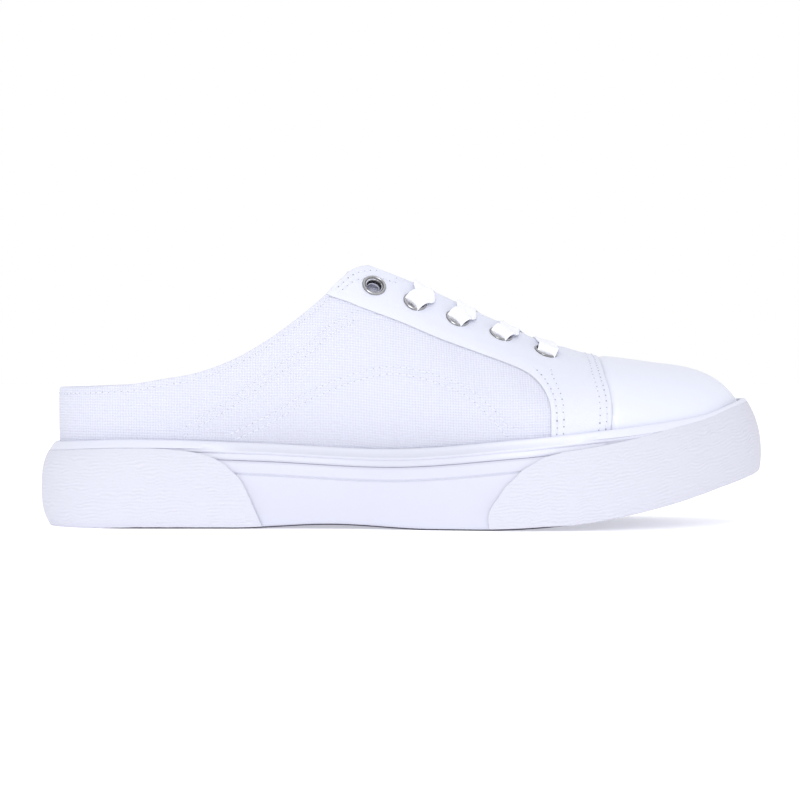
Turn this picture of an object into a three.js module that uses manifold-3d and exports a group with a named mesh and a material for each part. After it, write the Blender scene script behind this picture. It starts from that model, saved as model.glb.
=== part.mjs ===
// A low canvas sneaker mule for the right foot: open at the back above a low heel rim, laced over the
// instep, on a thick rubber cup sole with a textured toe bumper and heel patch.
// Millimetres. +X runs from heel to toe, +Y to the inner (big toe) side, +Z up from the floor.
import * as THREE from "three";
import Module from "manifold-3d";

const wasm = await Module();
wasm.setup();

// Driving sizes of the whole shoe
const LENGTH = 276; // sole, heel to toe at its fullest
const BALL_WIDTH = 100; // sole at the ball
const HEEL_WIDTH = 70; // sole at the heel
const SOLE_HEIGHT = 32; // side wall of the sole, floor to top edge at the heel
const TOE_LIP_HEIGHT = 49.3; // floor to the bumper's lip at the tip
const TOE_SPRING = 22; // floor to the sole's underside at the tip
const ARCH_RISE = 1.5; // floor to the underside at the waist
const HEEL_RIM_RISE = 20.7; // collar above the sole's height, at the back
const INSTEP_RISE = 66.3; // top of the eyestay above the sole's height

// Walls and pieces
const GAP = 0.3; // between neighbours
const UPPER_WALL = 1.7; // canvas with its lining
const OVERLAY = 1; // vamp and eyestay
const CAP = 0.8; // toe cap
const PATCH = 0.9; // toe bumper and heel patch
const STRIP_HEIGHT = 6.8; // foxing strip, from the top edge down
const STRIP_HOLLOW = 0.7; // how far the strip lies behind its bead
const BEAD_TOP = 3.1; // bead on the strip, below the top edge
const BEAD_HEIGHT = 0.9;
const BEAD_SLOPE = 0.45;
const STRIP_FLUSH = 0.25; // where it is level with patch and bumper
const BAND_BOTTOM = 11.8; // lower line of the upper band, below the top edge
const BAND_LINE = 0.5; // depth and half height of that line
const PATCH_LIFT = 0.5; // their lower edge above the tread
const FOOT_BEVEL = 0.9; // lower edge of the side wall
const INSOLE = 4;
const INSOLE_EASE = 0.6; // how far the insole's top edge is rounded in
const OUTSOLE = 4.5;
const OUTSOLE_MARGIN = 2.6; // side wall that shows round the tread
const GROOVE_DEPTH = 1.3; // flex grooves in the tread
const GROOVE_WIDTH = 2.4;
const GROOVE_PITCH = 11;
const GROOVE_MARGIN = 7; // uncut tread at a groove's ends
const TONGUE = 2.2;
const TONGUE_EASE = 0.9; // under the upper's inside
const TONGUE_HALF_TOP = 27;
const TONGUE_HALF_FRONT = 19;

// Throat, eyelets and laces
const THROAT_HALF_TOP = 15.5;
const THROAT_HALF_FRONT = 11.5;
const EYELET_HALVES = [22.3, 23.3, 23.4, 23.1, 22.5]; // from the centre line, top pair first
const EYELET_COUNT = EYELET_HALVES.length; // on each side
const EYELET_BOW = 1.1; // how much nearer to the top pair the middle pair lies
const EYELET_HOLE = 2.4;
const EYELET_BARREL = 3;
const EYELET_FLANGE = 4.6;
const EYELET_HEIGHT = 0.8;
const EYELET_SEAT = 0.4; // under the flange, which bridges the eyestay's hollow
const LACE_WIDTH = 8;
const LACE = 1.1;
const LACE_BEVEL = 1; // rounding of a lace's edges
const LACE_ARCH = 0.8; // rise of a lace between the throat's edges
const LACE_EASE = 0.5; // extra clearance of a flat lace over the curved eyestay
const LACE_CLEAR = 0.4; // between the laces in the throat and the tongue under them

// Sides of the shoe, as the sign of Y
const OUTER = -1;
const INNER = 1;

// Shares of LENGTH where things begin and end along the shoe
const HEEL_ROUND = 0.155;
const TOE_ROUND = 0.275;
const HEEL_ROUND_POWER = 2.3;
const TOE_ROUND_POWER = 2.25;
const ROCKER_START = 0.6;
const ARCH_START = 0.27;
const ARCH_END = 0.54;
const TREAD_END = 0.7; // flex grooves reach to here
const HEEL_TREAD_START = 0.06;
const HEEL_TREAD_END = 0.25;
const FRONT_TREAD_START = 0.5;
const EYELET_TOP_AT = 0.461;
const EYELET_FRONT_AT = 0.694;
const THROAT_TOP_AT = 0.47;
const THROAT_REAR_AT = 0.3; // the opening between the stays runs back to here, over the collar
const THROAT_FRONT_AT = 0.722;
const TONGUE_TOP_AT = 0.435;
const TONGUE_FRONT_AT = 0.78;
const HEEL_FAN = 0.25; // behind this the upper's ribs fan round the heel
const TOE_FAN = 0.725; // ahead of this they fan round the toe
const FAN_SLOWING = 0.95; // how much the ribs' tops crowd together at the ends of the fans

// Sole outline: how far each side has opened from half the heel's width (0) to half the ball's (1)
const OUTLINE = [
  { at: 0.0, centre: 0.0, outer: 0.0, inner: 0.0 },
  { at: 0.15, centre: 0.0, outer: 0.02, inner: 0.0 },
  { at: 0.3, centre: 0.0, outer: 0.04, inner: -0.12 },
  { at: 0.42, centre: 0.0, outer: 0.22, inner: -0.18 },
  { at: 0.55, centre: 0.0, outer: 0.72, inner: 0.22 },
  { at: 0.65, centre: 0.0, outer: 1.0, inner: 0.74 },
  { at: 0.74, centre: 0.005, outer: 1.03, inner: 0.97 },
  { at: 0.86, centre: 0.025, outer: 0.92, inner: 0.92 },
  { at: 1.0, centre: 0.05, outer: 0.6, inner: 0.65 },
];

// Side wall of the sole in section, in mm inside the outline: at its top and bottom, the share of its
// height where it is fullest, and how suddenly it turns in. inset is where the upper stands at the top edge.
// cover: depth below the top edge at which patch and bumper begin. flush: 1 where the strip above them
// stands out as far as they do.
const WALL = [
  { at: 0.0, top: 5.2, bottom: 3.4, full: 0.45, power: 3.0, inset: 7.1, cover: 3.4, flush: 1.0 },
  { at: 0.16, top: 4.6, bottom: 2.6, full: 0.42, power: 2.8, inset: 6.8, cover: 3.4, flush: 1.0 },
  { at: 0.3, top: 3.2, bottom: 1.4, full: 0.38, power: 2.4, inset: 5.9, cover: 3.9, flush: 0.2 },
  { at: 0.55, top: 3.0, bottom: 1.2, full: 0.35, power: 2.2, inset: 6.2, cover: 6.0, flush: 0.0 },
  { at: 0.72, top: 3.3, bottom: 1.2, full: 0.31, power: 2.2, inset: 6.9, cover: 6.1, flush: 0.0 },
  { at: 0.8, top: 3.8, bottom: 1.3, full: 0.28, power: 2.2, inset: 7.0, cover: 4.8, flush: 0.3 },
  { at: 0.87, top: 4.6, bottom: 1.4, full: 0.26, power: 2.15, inset: 7.0, cover: 2.6, flush: 0.9 },
  { at: 0.93, top: 5.4, bottom: 1.5, full: 0.24, power: 2.15, inset: 7.1, cover: 1.7, flush: 1.0 },
  { at: 1.0, top: 6.0, bottom: 1.6, full: 0.22, power: 2.15, inset: 7.2, cover: 1.6, flush: 1.0 },
];

// Heights along the shoe. edge: the sole's top edge as a share of SOLE_HEIGHT, and lift: how much of the
// toe lip's extra height it has gained. bed: the foot bed above the underside, a share of SOLE_HEIGHT.
const SOLE_LINE = [
  { at: 0.0, edge: 0.985, lift: 0.0, bed: 0.66 },
  { at: 0.12, edge: 1.035, lift: 0.0, bed: 0.65 },
  { at: 0.3, edge: 1.0, lift: 0.0, bed: 0.6 },
  { at: 0.49, edge: 0.935, lift: 0.0, bed: 0.52 },
  { at: 0.655, edge: 0.985, lift: 0.11, bed: 0.45 },
  { at: 0.76, edge: 1.0, lift: 0.26, bed: 0.42 },
  { at: 0.85, edge: 1.0, lift: 0.44, bed: 0.41 },
  { at: 0.91, edge: 1.0, lift: 0.6, bed: 0.4 },
  { at: 0.96, edge: 1.0, lift: 0.87, bed: 0.39 },
  { at: 1.0, edge: 1.0, lift: 1.03, bed: 0.38 },
];

// The last, as shares of INSTEP_RISE above SOLE_HEIGHT: ridge is its crest and wide its widest level.
// tuck: mm that it turns in from there to the sole. outer and inner: how square each side's section is,
// where 2 is round.
// lean: the crest's offset to the inner side, a share of BALL_WIDTH.
const LAST = [
  { at: 0.0, ridge: 1.0, wide: 0.12, tuck: 0.3, outer: 3.0, inner: 3.0, lean: -0.02 },
  { at: 0.13, ridge: 1.09, wide: 0.13, tuck: 0.4, outer: 3.0, inner: 3.0, lean: -0.025 },
  { at: 0.29, ridge: 1.15, wide: 0.2, tuck: 1.6, outer: 2.6, inner: 2.6, lean: -0.03 },
  { at: 0.4, ridge: 1.15, wide: 0.25, tuck: 2.8, outer: 2.2, inner: 2.3, lean: -0.03 },
  { at: 0.457, ridge: 1.086, wide: 0.26, tuck: 3.0, outer: 1.88, inner: 2.05, lean: -0.02 },
  { at: 0.517, ridge: 0.97, wide: 0.25, tuck: 2.8, outer: 1.68, inner: 1.98, lean: -0.005 },
  { at: 0.575, ridge: 0.845, wide: 0.22, tuck: 2.2, outer: 1.58, inner: 1.9, lean: 0.01 },
  { at: 0.635, ridge: 0.704, wide: 0.19, tuck: 1.5, outer: 1.6, inner: 1.88, lean: 0.02 },
  { at: 0.695, ridge: 0.573, wide: 0.15, tuck: 0.9, outer: 1.67, inner: 1.86, lean: 0.025 },
  { at: 0.748, ridge: 0.493, wide: 0.12, tuck: 0.4, outer: 1.82, inner: 1.92, lean: 0.03 },
  { at: 0.8, ridge: 0.465, wide: 0.09, tuck: 0.1, outer: 2.0, inner: 2.0, lean: 0.035 },
  { at: 0.86, ridge: 0.43, wide: 0.05, tuck: 0.0, outer: 2.2, inner: 2.2, lean: 0.04 },
  { at: 0.93, ridge: 0.4, wide: 0.03, tuck: 0.0, outer: 2.35, inner: 2.35, lean: 0.045 },
  { at: 1.0, ridge: 0.375, wide: 0.03, tuck: 0.0, outer: 2.4, inner: 2.4, lean: 0.045 },
];

// Collar in side view: climb 0 is the heel rim and 1 the top of the eyestay
const COLLAR = [
  { at: 0.0, climb: 0.0 },
  { at: 0.06, climb: 0.005 },
  { at: 0.13, climb: 0.024 },
  { at: 0.172, climb: 0.064 },
  { at: 0.226, climb: 0.125 },
  { at: 0.28, climb: 0.252 },
  { at: 0.334, climb: 0.452 },
  { at: 0.388, climb: 0.713 },
  { at: 0.414, climb: 0.871 },
  { at: 0.43, climb: 0.957 },
  { at: 0.445, climb: 0.993 },
  { at: 0.46, climb: 1.0 },
  { at: 0.475, climb: 0.985 },
  { at: 0.49, climb: 0.95 },
];

// Lower edge of the eyestay and rear edge of the vamp in side view; rise is a share of INSTEP_RISE
const VAMP_REAR = [
  { at: 0.36, rise: 0.9 },
  { at: 0.402, rise: 0.82 },
  { at: 0.423, rise: 0.79 },
  { at: 0.443, rise: 0.756 },
  { at: 0.497, rise: 0.671 },
  { at: 0.551, rise: 0.575 },
  { at: 0.605, rise: 0.492 },
  { at: 0.651, rise: 0.419 },
  { at: 0.671, rise: 0.374 },
  { at: 0.686, rise: 0.308 },
  { at: 0.695, rise: 0.225 },
  { at: 0.697, rise: 0.131 },
  { at: 0.697, rise: -0.1 },
];

// Front edge of the vamp, where the toe cap begins
const VAMP_FRONT = [
  { at: 0.771, rise: 0.6 },
  { at: 0.771, rise: 0.498 },
  { at: 0.774, rise: 0.374 },
  { at: 0.779, rise: 0.268 },
  { at: 0.78, rise: 0.158 },
  { at: 0.778, rise: 0.075 },
  { at: 0.777, rise: -0.1 },
];

// Front edge of the heel patch and rear edge of the toe bumper; drop is a share of the height from
// their top edge down to the floor
const PATCH_FRONT = [
  { at: 0.16, drop: -0.6 },
  { at: 0.17, drop: -0.02 },
  { at: 0.188, drop: 0.0 },
  { at: 0.215, drop: 0.02 },
  { at: 0.236, drop: 0.055 },
  { at: 0.258, drop: 0.14 },
  { at: 0.27, drop: 0.23 },
  { at: 0.283, drop: 0.35 },
  { at: 0.293, drop: 0.53 },
  { at: 0.302, drop: 0.73 },
  { at: 0.312, drop: 0.96 },
  { at: 0.318, drop: 1.1 },
];
const BUMPER_REAR = [
  { at: 0.74, drop: -0.6 },
  { at: 0.71, drop: 0.0 },
  { at: 0.69, drop: 0.03 },
  { at: 0.676, drop: 0.09 },
  { at: 0.658, drop: 0.18 },
  { at: 0.648, drop: 0.28 },
  { at: 0.635, drop: 0.4 },
  { at: 0.626, drop: 0.54 },
  { at: 0.617, drop: 0.67 },
  { at: 0.613, drop: 0.81 },
  { at: 0.616, drop: 1.1 },
];

// Fineness of the facets
const STATIONS = 22; // heel to toe on each side
const CROWN_STEPS = [0, 19, 38, 56, 74, 90]; // degrees up a rib, from its widest level to the crest
const SKIRT_STEPS = [0, 0.4, 0.75]; // shares of the height from the upper's lower edge to its widest level
const TUCK_POWER = 1.6;
const LACE_STEPS = 4; // across the throat
const ROUND_STEPS = 10;
const REACH = 400; // cutting bodies run past everything
const PAST_END = 10; // and this far past the heel and the toe

const clamp = (value, low, high) => Math.min(high, Math.max(low, value));
const mix = (a, b, share) => a + (b - a) * share;

// A smooth function along the shoe through one column of a table
function along(table, column) {
  const at = table.map((row) => row.at);
  const value = table.map((row) => row[column]);
  const end = at.length - 1;
  const slope = value.map((_, i) => {
    const before = Math.max(0, i - 1);
    const after = Math.min(end, i + 1);
    return (value[after] - value[before]) / (at[after] - at[before]);
  });
  return (share) => {
    const s = clamp(share, at[0], at[end]);
    let i = 0;
    while (i < end - 1 && s > at[i + 1]) i += 1;
    const span = at[i + 1] - at[i];
    const k = (s - at[i]) / span;
    const bend = k * k * (3 - 2 * k);
    const leave = span * slope[i] * k * (1 - k) * (1 - k);
    const arrive = span * slope[i + 1] * k * k * (k - 1);
    return mix(value[i], value[i + 1], bend) + leave + arrive;
  };
}

// Every column of a table as such a function
function curvesOf(table) {
  const columns = Object.keys(table[0]).filter((name) => name !== "at");
  return Object.fromEntries(columns.map((name) => [name, along(table, name)]));
}

const outline = curvesOf(OUTLINE);
const wall = curvesOf(WALL);
const soleLine = curvesOf(SOLE_LINE);
const last = curvesOf(LAST);
const collar = curvesOf(COLLAR);

// Heights over the floor at x
function underside(x) {
  const rocker = Math.max(0, x - ROCKER_START * LENGTH);
  const rockerLength = (1 - ROCKER_START) * LENGTH;
  const arch = clamp((x / LENGTH - ARCH_START) / (ARCH_END - ARCH_START), 0, 1);
  return TOE_SPRING * (rocker / rockerLength) ** 2 + ARCH_RISE * Math.sin(Math.PI * arch) ** 2;
}
const topEdge = (x) =>
  SOLE_HEIGHT * soleLine.edge(x / LENGTH) + (TOE_LIP_HEIGHT - SOLE_HEIGHT) * soleLine.lift(x / LENGTH);
const footBed = (x) => underside(x) + SOLE_HEIGHT * soleLine.bed(x / LENGTH);
const crest = (x) => SOLE_HEIGHT + INSTEP_RISE * last.ridge(x / LENGTH);
const widestLevel = (x) => SOLE_HEIGHT + INSTEP_RISE * last.wide(x / LENGTH);
const collarHeight = (x) => SOLE_HEIGHT + mix(HEEL_RIM_RISE, INSTEP_RISE, collar.climb(x / LENGTH));
const crestSide = (x) => BALL_WIDTH * last.lean(x / LENGTH);

// A turn runs from 0 at the heel's tip, along the outer side to 1 at the toe's, and back to 2
const shareOf = (turn) => (1 - Math.cos(Math.PI * turn)) / 2;
const turnOf = (x) => Math.acos(1 - (2 * x) / LENGTH) / Math.PI;
const sideOf = (turn) => ((turn + 2) % 2 < 1 ? OUTER : INNER);
function roundOff(share, reach, power) {
  return (1 - (1 - clamp(share / reach, 0, 1)) ** power) ** (1 / power);
}

function outlinePoint(turn) {
  const share = shareOf(turn);
  const side = sideOf(turn);
  const flare = side === OUTER ? outline.outer(share) : outline.inner(share);
  const body = mix(HEEL_WIDTH, BALL_WIDTH, flare) / 2;
  const heelEnd = roundOff(share, HEEL_ROUND, HEEL_ROUND_POWER);
  const toeEnd = roundOff(1 - share, TOE_ROUND, TOE_ROUND_POWER);
  const y = outline.centre(share) * BALL_WIDTH + side * body * heelEnd * toeEnd;
  return new THREE.Vector2(share * LENGTH, y);
}

// The outline moved inwards by an inset
function insetPoint(turn, inset) {
  const step = 0.002;
  const chord = outlinePoint(turn + step).sub(outlinePoint(turn - step)).normalize();
  return outlinePoint(turn).add(new THREE.Vector2(-chord.y, chord.x).multiplyScalar(inset));
}

// Where on the crest the rib of a station ends: ribs are square to the shoe in its middle and fan at
// its ends
function crestPoint(share) {
  const ahead = Math.max(0, share - TOE_FAN);
  const behind = Math.max(0, HEEL_FAN - share);
  const slowAhead = (FAN_SLOWING * ahead ** 2) / (2 * (1 - TOE_FAN));
  const slowBehind = (FAN_SLOWING * behind ** 2) / (2 * HEEL_FAN);
  const x = (share - slowAhead + slowBehind) * LENGTH;
  return new THREE.Vector2(x, crestSide(x));
}

// A point of the last on its rib, at an angle of 0 at the widest level to 90 degrees at the crest
function ribPoint(turn, degrees) {
  const share = shareOf(turn);
  const power = sideOf(turn) === OUTER ? last.outer(share) : last.inner(share);
  const angle = THREE.MathUtils.degToRad(degrees);
  const radius = (Math.cos(angle) ** power + Math.sin(angle) ** power) ** (-1 / power);
  const foot = insetPoint(turn, wall.inset(share) - last.tuck(share));
  const plan = crestPoint(share).lerp(foot, radius * Math.cos(angle));
  const z = mix(widestLevel(plan.x), crest(plan.x), radius * Math.sin(angle));
  return new THREE.Vector3(plan.x, plan.y, z);
}

function ribNormal(turn, degrees) {
  const step = 0.003;
  if (degrees > 89.5) {
    const x = ribPoint(turn, 90).x;
    return new THREE.Vector3(crest(x - 1) - crest(x + 1), 0, 2).normalize();
  }
  const forward = ribPoint(turn + step, degrees).sub(ribPoint(turn - step, degrees));
  const upward = ribPoint(turn, degrees + 0.5).sub(ribPoint(turn, Math.max(0, degrees - 0.5)));
  return forward.cross(upward).normalize();
}

// A closed body from points and triangles, with shared points welded and empty triangles dropped
function bodyFrom(points, triangles) {
  const found = new Map();
  const kept = [];
  const index = points.map((p) => {
    const key = `${Math.round(p.x * 1000)},${Math.round(p.y * 1000)},${Math.round(p.z * 1000)}`;
    if (!found.has(key)) {
      found.set(key, kept.length);
      kept.push(p);
    }
    return found.get(key);
  });
  const faces = triangles.map((t) => t.map((i) => index[i]));
  const whole = faces.filter(([a, b, c]) => a !== b && b !== c && c !== a);
  return new wasm.Manifold(
    new wasm.Mesh({
      numProp: 3,
      vertProperties: new Float32Array(kept.flatMap((p) => [p.x, p.y, p.z])),
      triVerts: new Uint32Array(whole.flat()),
    }),
  );
}

// A closed body from rings that run heel, outer side, toe, inner side, lowest ring first.
// Strips across the shoe close its underside and its top.
function loft(rings) {
  const count = rings[0].length;
  const half = count / 2;
  const points = rings.flat();
  const triangles = [];
  const quad = (a, b, c, d) => triangles.push([a, b, c], [a, c, d]);
  for (let level = 0; level < rings.length - 1; level += 1) {
    for (let i = 0; i < count; i += 1) {
      const next = (i + 1) % count;
      const low = level * count;
      const high = low + count;
      quad(low + i, low + next, high + next, high + i);
    }
  }
  const lid = (rings.length - 1) * count;
  for (let i = 0; i < half; i += 1) {
    const back = (count - i) % count;
    const backNext = count - i - 1;
    quad(i, back, backNext, i + 1);
    quad(lid + i, lid + i + 1, lid + backNext, lid + back);
  }
  return bodyFrom(points, triangles);
}

const turns = Array.from({ length: 2 * STATIONS }, (_, i) => i / STATIONS);

// One ring of the sole's side wall: recess is mm behind its full form, height in mm over the floor
function wallRing(recessAt, heightAt) {
  return turns.map((turn) => {
    const share = shareOf(turn);
    const recess = recessAt(share);
    const guess = insetPoint(turn, recess);
    const guessed = heightAt(guess.x);
    const level = (guessed - underside(guess.x)) / (topEdge(guess.x) - underside(guess.x));
    const full = wall.full(share);
    const above = clamp((level - full) / (1 - full), 0, 1) ** wall.power(share);
    const below = clamp((full - level) / full, 0, 1) ** wall.power(share);
    const plan = insetPoint(turn, recess + wall.top(share) * above + wall.bottom(share) * below);
    return new THREE.Vector3(plan.x, plan.y, heightAt(plan.x));
  });
}

const evenly = (recess) => () => recess;
const levelAt = (share) => (x) => mix(underside(x), topEdge(x), share);
const belowEdge = (depth) => (x) => topEdge(x) - depth;
const aboveTread = (height) => (x) => underside(x) + height;
const coverLine = (x) => topEdge(x) - wall.cover(x / LENGTH);

// The last grown by a distance, from a lower height up to its crest
function lastBody(grown, lowest) {
  const skirt = SKIRT_STEPS.map((step) =>
    turns.map((turn) => {
      const share = shareOf(turn);
      const x = insetPoint(turn, wall.inset(share)).x;
      const z = mix(lowest(x), widestLevel(x), step);
      const depth = (widestLevel(x) - z) / Math.max(1, widestLevel(x) - topEdge(x));
      const tucked = last.tuck(share) * Math.min(1, depth) ** TUCK_POWER;
      const plan = insetPoint(turn, wall.inset(share) - last.tuck(share) + tucked - grown);
      return new THREE.Vector3(plan.x, plan.y, z);
    }),
  );
  const crown = CROWN_STEPS.map((degrees) =>
    turns.map((turn) => ribPoint(turn, degrees).addScaledVector(ribNormal(turn, degrees), grown)),
  );
  return loft([...skirt, ...crown]);
}

// A geometry as a closed body
function bodyOfGeometry(geometry) {
  const flat = geometry.index ? geometry.toNonIndexed() : geometry;
  const position = flat.getAttribute("position");
  const points = [];
  const triangles = [];
  for (let i = 0; i < position.count; i += 1) {
    points.push(new THREE.Vector3().fromBufferAttribute(position, i));
    if (i % 3 === 0) triangles.push([i, i + 1, i + 2]);
  }
  return bodyFrom(points, triangles);
}

// A body that runs across the shoe, from its outline in side view
function across(points) {
  const shape = new THREE.Shape(points.map(([x, z]) => new THREE.Vector2(x, z)));
  const geometry = new THREE.ExtrudeGeometry(shape, { depth: 2 * REACH, bevelEnabled: false });
  geometry.rotateX(Math.PI / 2);
  geometry.translate(0, REACH, 0);
  return bodyOfGeometry(geometry);
}

// A body that runs up through the shoe, from its outline in plan
function upright(points) {
  const shape = new THREE.Shape(points.map(([x, y]) => new THREE.Vector2(x, y)));
  const geometry = new THREE.ExtrudeGeometry(shape, { depth: REACH, bevelEnabled: false });
  return bodyOfGeometry(geometry);
}

// Points of a height function in side view, at the given x
const sideLine = (xs, height) => xs.map((x) => [x, height(x)]);
function spaced(from, to, count) {
  return Array.from({ length: count + 1 }, (_, i) => mix(from, to, i / count));
}

// Half the throat's opening in plan
function throatHalf(x) {
  const share = clamp((x / LENGTH - THROAT_TOP_AT) / (THROAT_FRONT_AT - THROAT_TOP_AT), 0, 1);
  return mix(THROAT_HALF_TOP, THROAT_HALF_FRONT, share);
}

// The throat's opening in plan, drawn in by a margin
function throatCutter(margin) {
  const centre = THROAT_FRONT_AT * LENGTH - THROAT_HALF_FRONT;
  const top = THROAT_TOP_AT * LENGTH;
  const rear = THROAT_REAR_AT * LENGTH;
  const halfTop = THROAT_HALF_TOP - margin;
  const halfFront = throatHalf(centre) - margin;
  const round = spaced(-90, 90, ROUND_STEPS / 2).map((degrees) => {
    const angle = THREE.MathUtils.degToRad(degrees);
    const x = centre + (THROAT_HALF_FRONT - margin) * Math.cos(angle);
    return [x, crestSide(centre) + halfFront * Math.sin(angle)];
  });
  const edge = (x, half) => [x, crestSide(x) + half];
  const middle = (centre + top) / 2;
  const halfMiddle = throatHalf(middle) - margin;
  return upright([
    edge(rear, -halfTop),
    edge(top, -halfTop),
    edge(middle, -halfMiddle),
    ...round,
    edge(middle, halfMiddle),
    edge(top, halfTop),
    edge(rear, halfTop),
  ]);
}

// Everything under the collar line, and all of the shoe ahead of it
function underCollar() {
  const front = COLLAR[COLLAR.length - 1].at * LENGTH;
  const line = sideLine(COLLAR.map((row) => row.at * LENGTH), collarHeight);
  return across([
    [-PAST_END, -REACH],
    [-PAST_END, collarHeight(0)],
    ...line,
    [front + GAP, REACH],
    [REACH, REACH],
    [REACH, -REACH],
  ]);
}

// The point of the last over (x, y) and its normal, found by stepping along its ribs
function lastAt(x, y) {
  const side = y < crestSide(x) ? OUTER : INNER;
  let turn = side === OUTER ? turnOf(x) : 2 - turnOf(x);
  let degrees = 60;
  for (let pass = 0; pass < 12; pass += 1) {
    const here = ribPoint(turn, degrees);
    const byTurn = ribPoint(turn + 0.001, degrees).sub(here).divideScalar(0.001);
    const byAngle = ribPoint(turn, degrees + 0.05).sub(here).divideScalar(0.05);
    const size = byTurn.x * byAngle.y - byTurn.y * byAngle.x;
    const dx = x - here.x;
    const dy = y - here.y;
    turn += clamp((dx * byAngle.y - dy * byAngle.x) / size, -0.05, 0.05);
    degrees = clamp(degrees + clamp((byTurn.x * dy - byTurn.y * dx) / size, -15, 15), 1, 89.4);
  }
  return { point: ribPoint(turn, degrees), normal: ribNormal(turn, degrees) };
}

// Places of the eyelets, top pair first
const eyeletPlaces = EYELET_HALVES.map((half, i) => {
  const share = i / (EYELET_COUNT - 1);
  const x = mix(EYELET_TOP_AT, EYELET_FRONT_AT, share) * LENGTH - EYELET_BOW * 4 * share * (1 - share);
  return { x, half };
});
const eyeletSide = (place, side) => crestSide(place.x) + side * place.half;

// A short round bar along a direction, from a start distance to an end distance from a point
function roundBar(point, direction, radius, from, to) {
  const geometry = new THREE.CylinderGeometry(radius, radius, to - from, ROUND_STEPS);
  geometry.translate(0, (from + to) / 2, 0);
  geometry.applyQuaternion(new THREE.Quaternion().setFromUnitVectors(new THREE.Vector3(0, 1, 0), direction));
  geometry.translate(point.x, point.y, point.z);
  return bodyOfGeometry(geometry);
}

function eyeletHoles() {
  const bars = eyeletPlaces.flatMap((place) =>
    [OUTER, INNER].map((side) => {
      const { point, normal } = lastAt(place.x, eyeletSide(place, side));
      return roundBar(point, normal, EYELET_BARREL + GAP, -3 * UPPER_WALL, 3 * OVERLAY);
    }),
  );
  return wasm.Manifold.union(bars);
}

const collarForm = underCollar();
const throatForm = throatCutter(0);
const holesForm = eyeletHoles();
const openings = (body) => body.intersect(collarForm).subtract(throatForm).subtract(holesForm);

const upperFoot = (x) => footBed(x) + GAP;
const lastOuter = lastBody(0, upperFoot);
const lastSpaced = lastBody(GAP, upperFoot);

// The canvas upper: one hollow wall, open at the collar, the throat and underneath
function makeUpper() {
  const inside = lastBody(-UPPER_WALL, (x) => upperFoot(x) - 2);
  return openings(lastOuter.subtract(inside));
}

// Everything above the sole's top edge, a gap clear of it
function aboveSole() {
  const from = -PAST_END;
  const to = LENGTH + PAST_END;
  const line = sideLine(spaced(from, to, 3 * STATIONS), (x) => topEdge(x) + GAP);
  return across([[to, REACH], [from, REACH], ...line]);
}
const aboveSoleForm = aboveSole();

const sidePoints = (rows) => rows.map((row) => [row.at * LENGTH, SOLE_HEIGHT + row.rise * INSTEP_RISE]);

// Vamp and eyestay in one overlay, between its rear line and the toe cap
function makeVamp() {
  const rear = sidePoints(VAMP_REAR);
  const front = sidePoints(VAMP_FRONT);
  const above = [[front[0][0], REACH], [rear[0][0], REACH]];
  const region = across([...rear, ...front.slice().reverse(), ...above]);
  const skin = lastBody(GAP + OVERLAY, upperFoot).subtract(lastSpaced);
  return openings(skin.intersect(region).intersect(aboveSoleForm));
}

function makeToeCap() {
  const front = sidePoints(VAMP_FRONT).map(([x, z]) => [x + GAP, z]);
  const region = across([...front, [REACH, -REACH / 2], [REACH, REACH], [front[0][0], REACH]]);
  const skin = lastBody(GAP + CAP, upperFoot).subtract(lastSpaced);
  return skin.intersect(region).intersect(aboveSoleForm);
}

// Sole: the cup, the foxing strip on its rim, the tread plate, and the patches outside
const shell = PATCH + GAP;
const soleCavity = lastBody(GAP, footBed);

function outsoleBody(grown) {
  const margin = evenly(shell + OUTSOLE_MARGIN - grown);
  const roof = aboveTread(OUTSOLE + grown);
  const floor = aboveTread(-grown);
  return loft([wallRing(margin, floor), wallRing(margin, roof)]);
}

// Rings for the cup's side: chamfered foot, main band, a line, the upper band, and a flat rim for the strip
function makeCup() {
  const side = evenly(shell);
  const drawnIn = evenly(shell + BAND_LINE);
  const rim = STRIP_HEIGHT + GAP;
  const body = loft([
    wallRing(evenly(shell + FOOT_BEVEL), aboveTread(PATCH_LIFT)),
    wallRing(side, aboveTread(PATCH_LIFT + FOOT_BEVEL)),
    wallRing(side, levelAt(0.28)),
    wallRing(side, levelAt(0.45)),
    wallRing(side, belowEdge(BAND_BOTTOM + BAND_LINE)),
    wallRing(drawnIn, belowEdge(BAND_BOTTOM)),
    wallRing(side, belowEdge(BAND_BOTTOM - BAND_LINE)),
    wallRing(side, belowEdge(rim + BAND_LINE)),
    wallRing(drawnIn, belowEdge(rim)),
  ]);
  return body.subtract(soleCavity).subtract(outsoleBody(GAP));
}

// The strip round the top of the sole: its bead runs along the sides, and at heel and toe its upper part
// stands out level with patch and bumper
function makeStrip() {
  const side = evenly(shell);
  const hollow = evenly(shell + STRIP_HOLLOW);
  const upperPart = (share) => mix(shell + STRIP_HOLLOW, STRIP_FLUSH, wall.flush(share));
  const beadTop = (x) => topEdge(x) - Math.min(BEAD_TOP, wall.cover(x / LENGTH) - GAP);
  const body = loft([
    wallRing(hollow, belowEdge(STRIP_HEIGHT)),
    wallRing(hollow, (x) => beadTop(x) - BEAD_HEIGHT - BEAD_SLOPE),
    wallRing(side, (x) => beadTop(x) - BEAD_HEIGHT),
    wallRing(side, beadTop),
    wallRing(upperPart, (x) => beadTop(x) + BEAD_SLOPE),
    wallRing(upperPart, belowEdge(0)),
  ]);
  return body.subtract(soleCavity);
}

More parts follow.
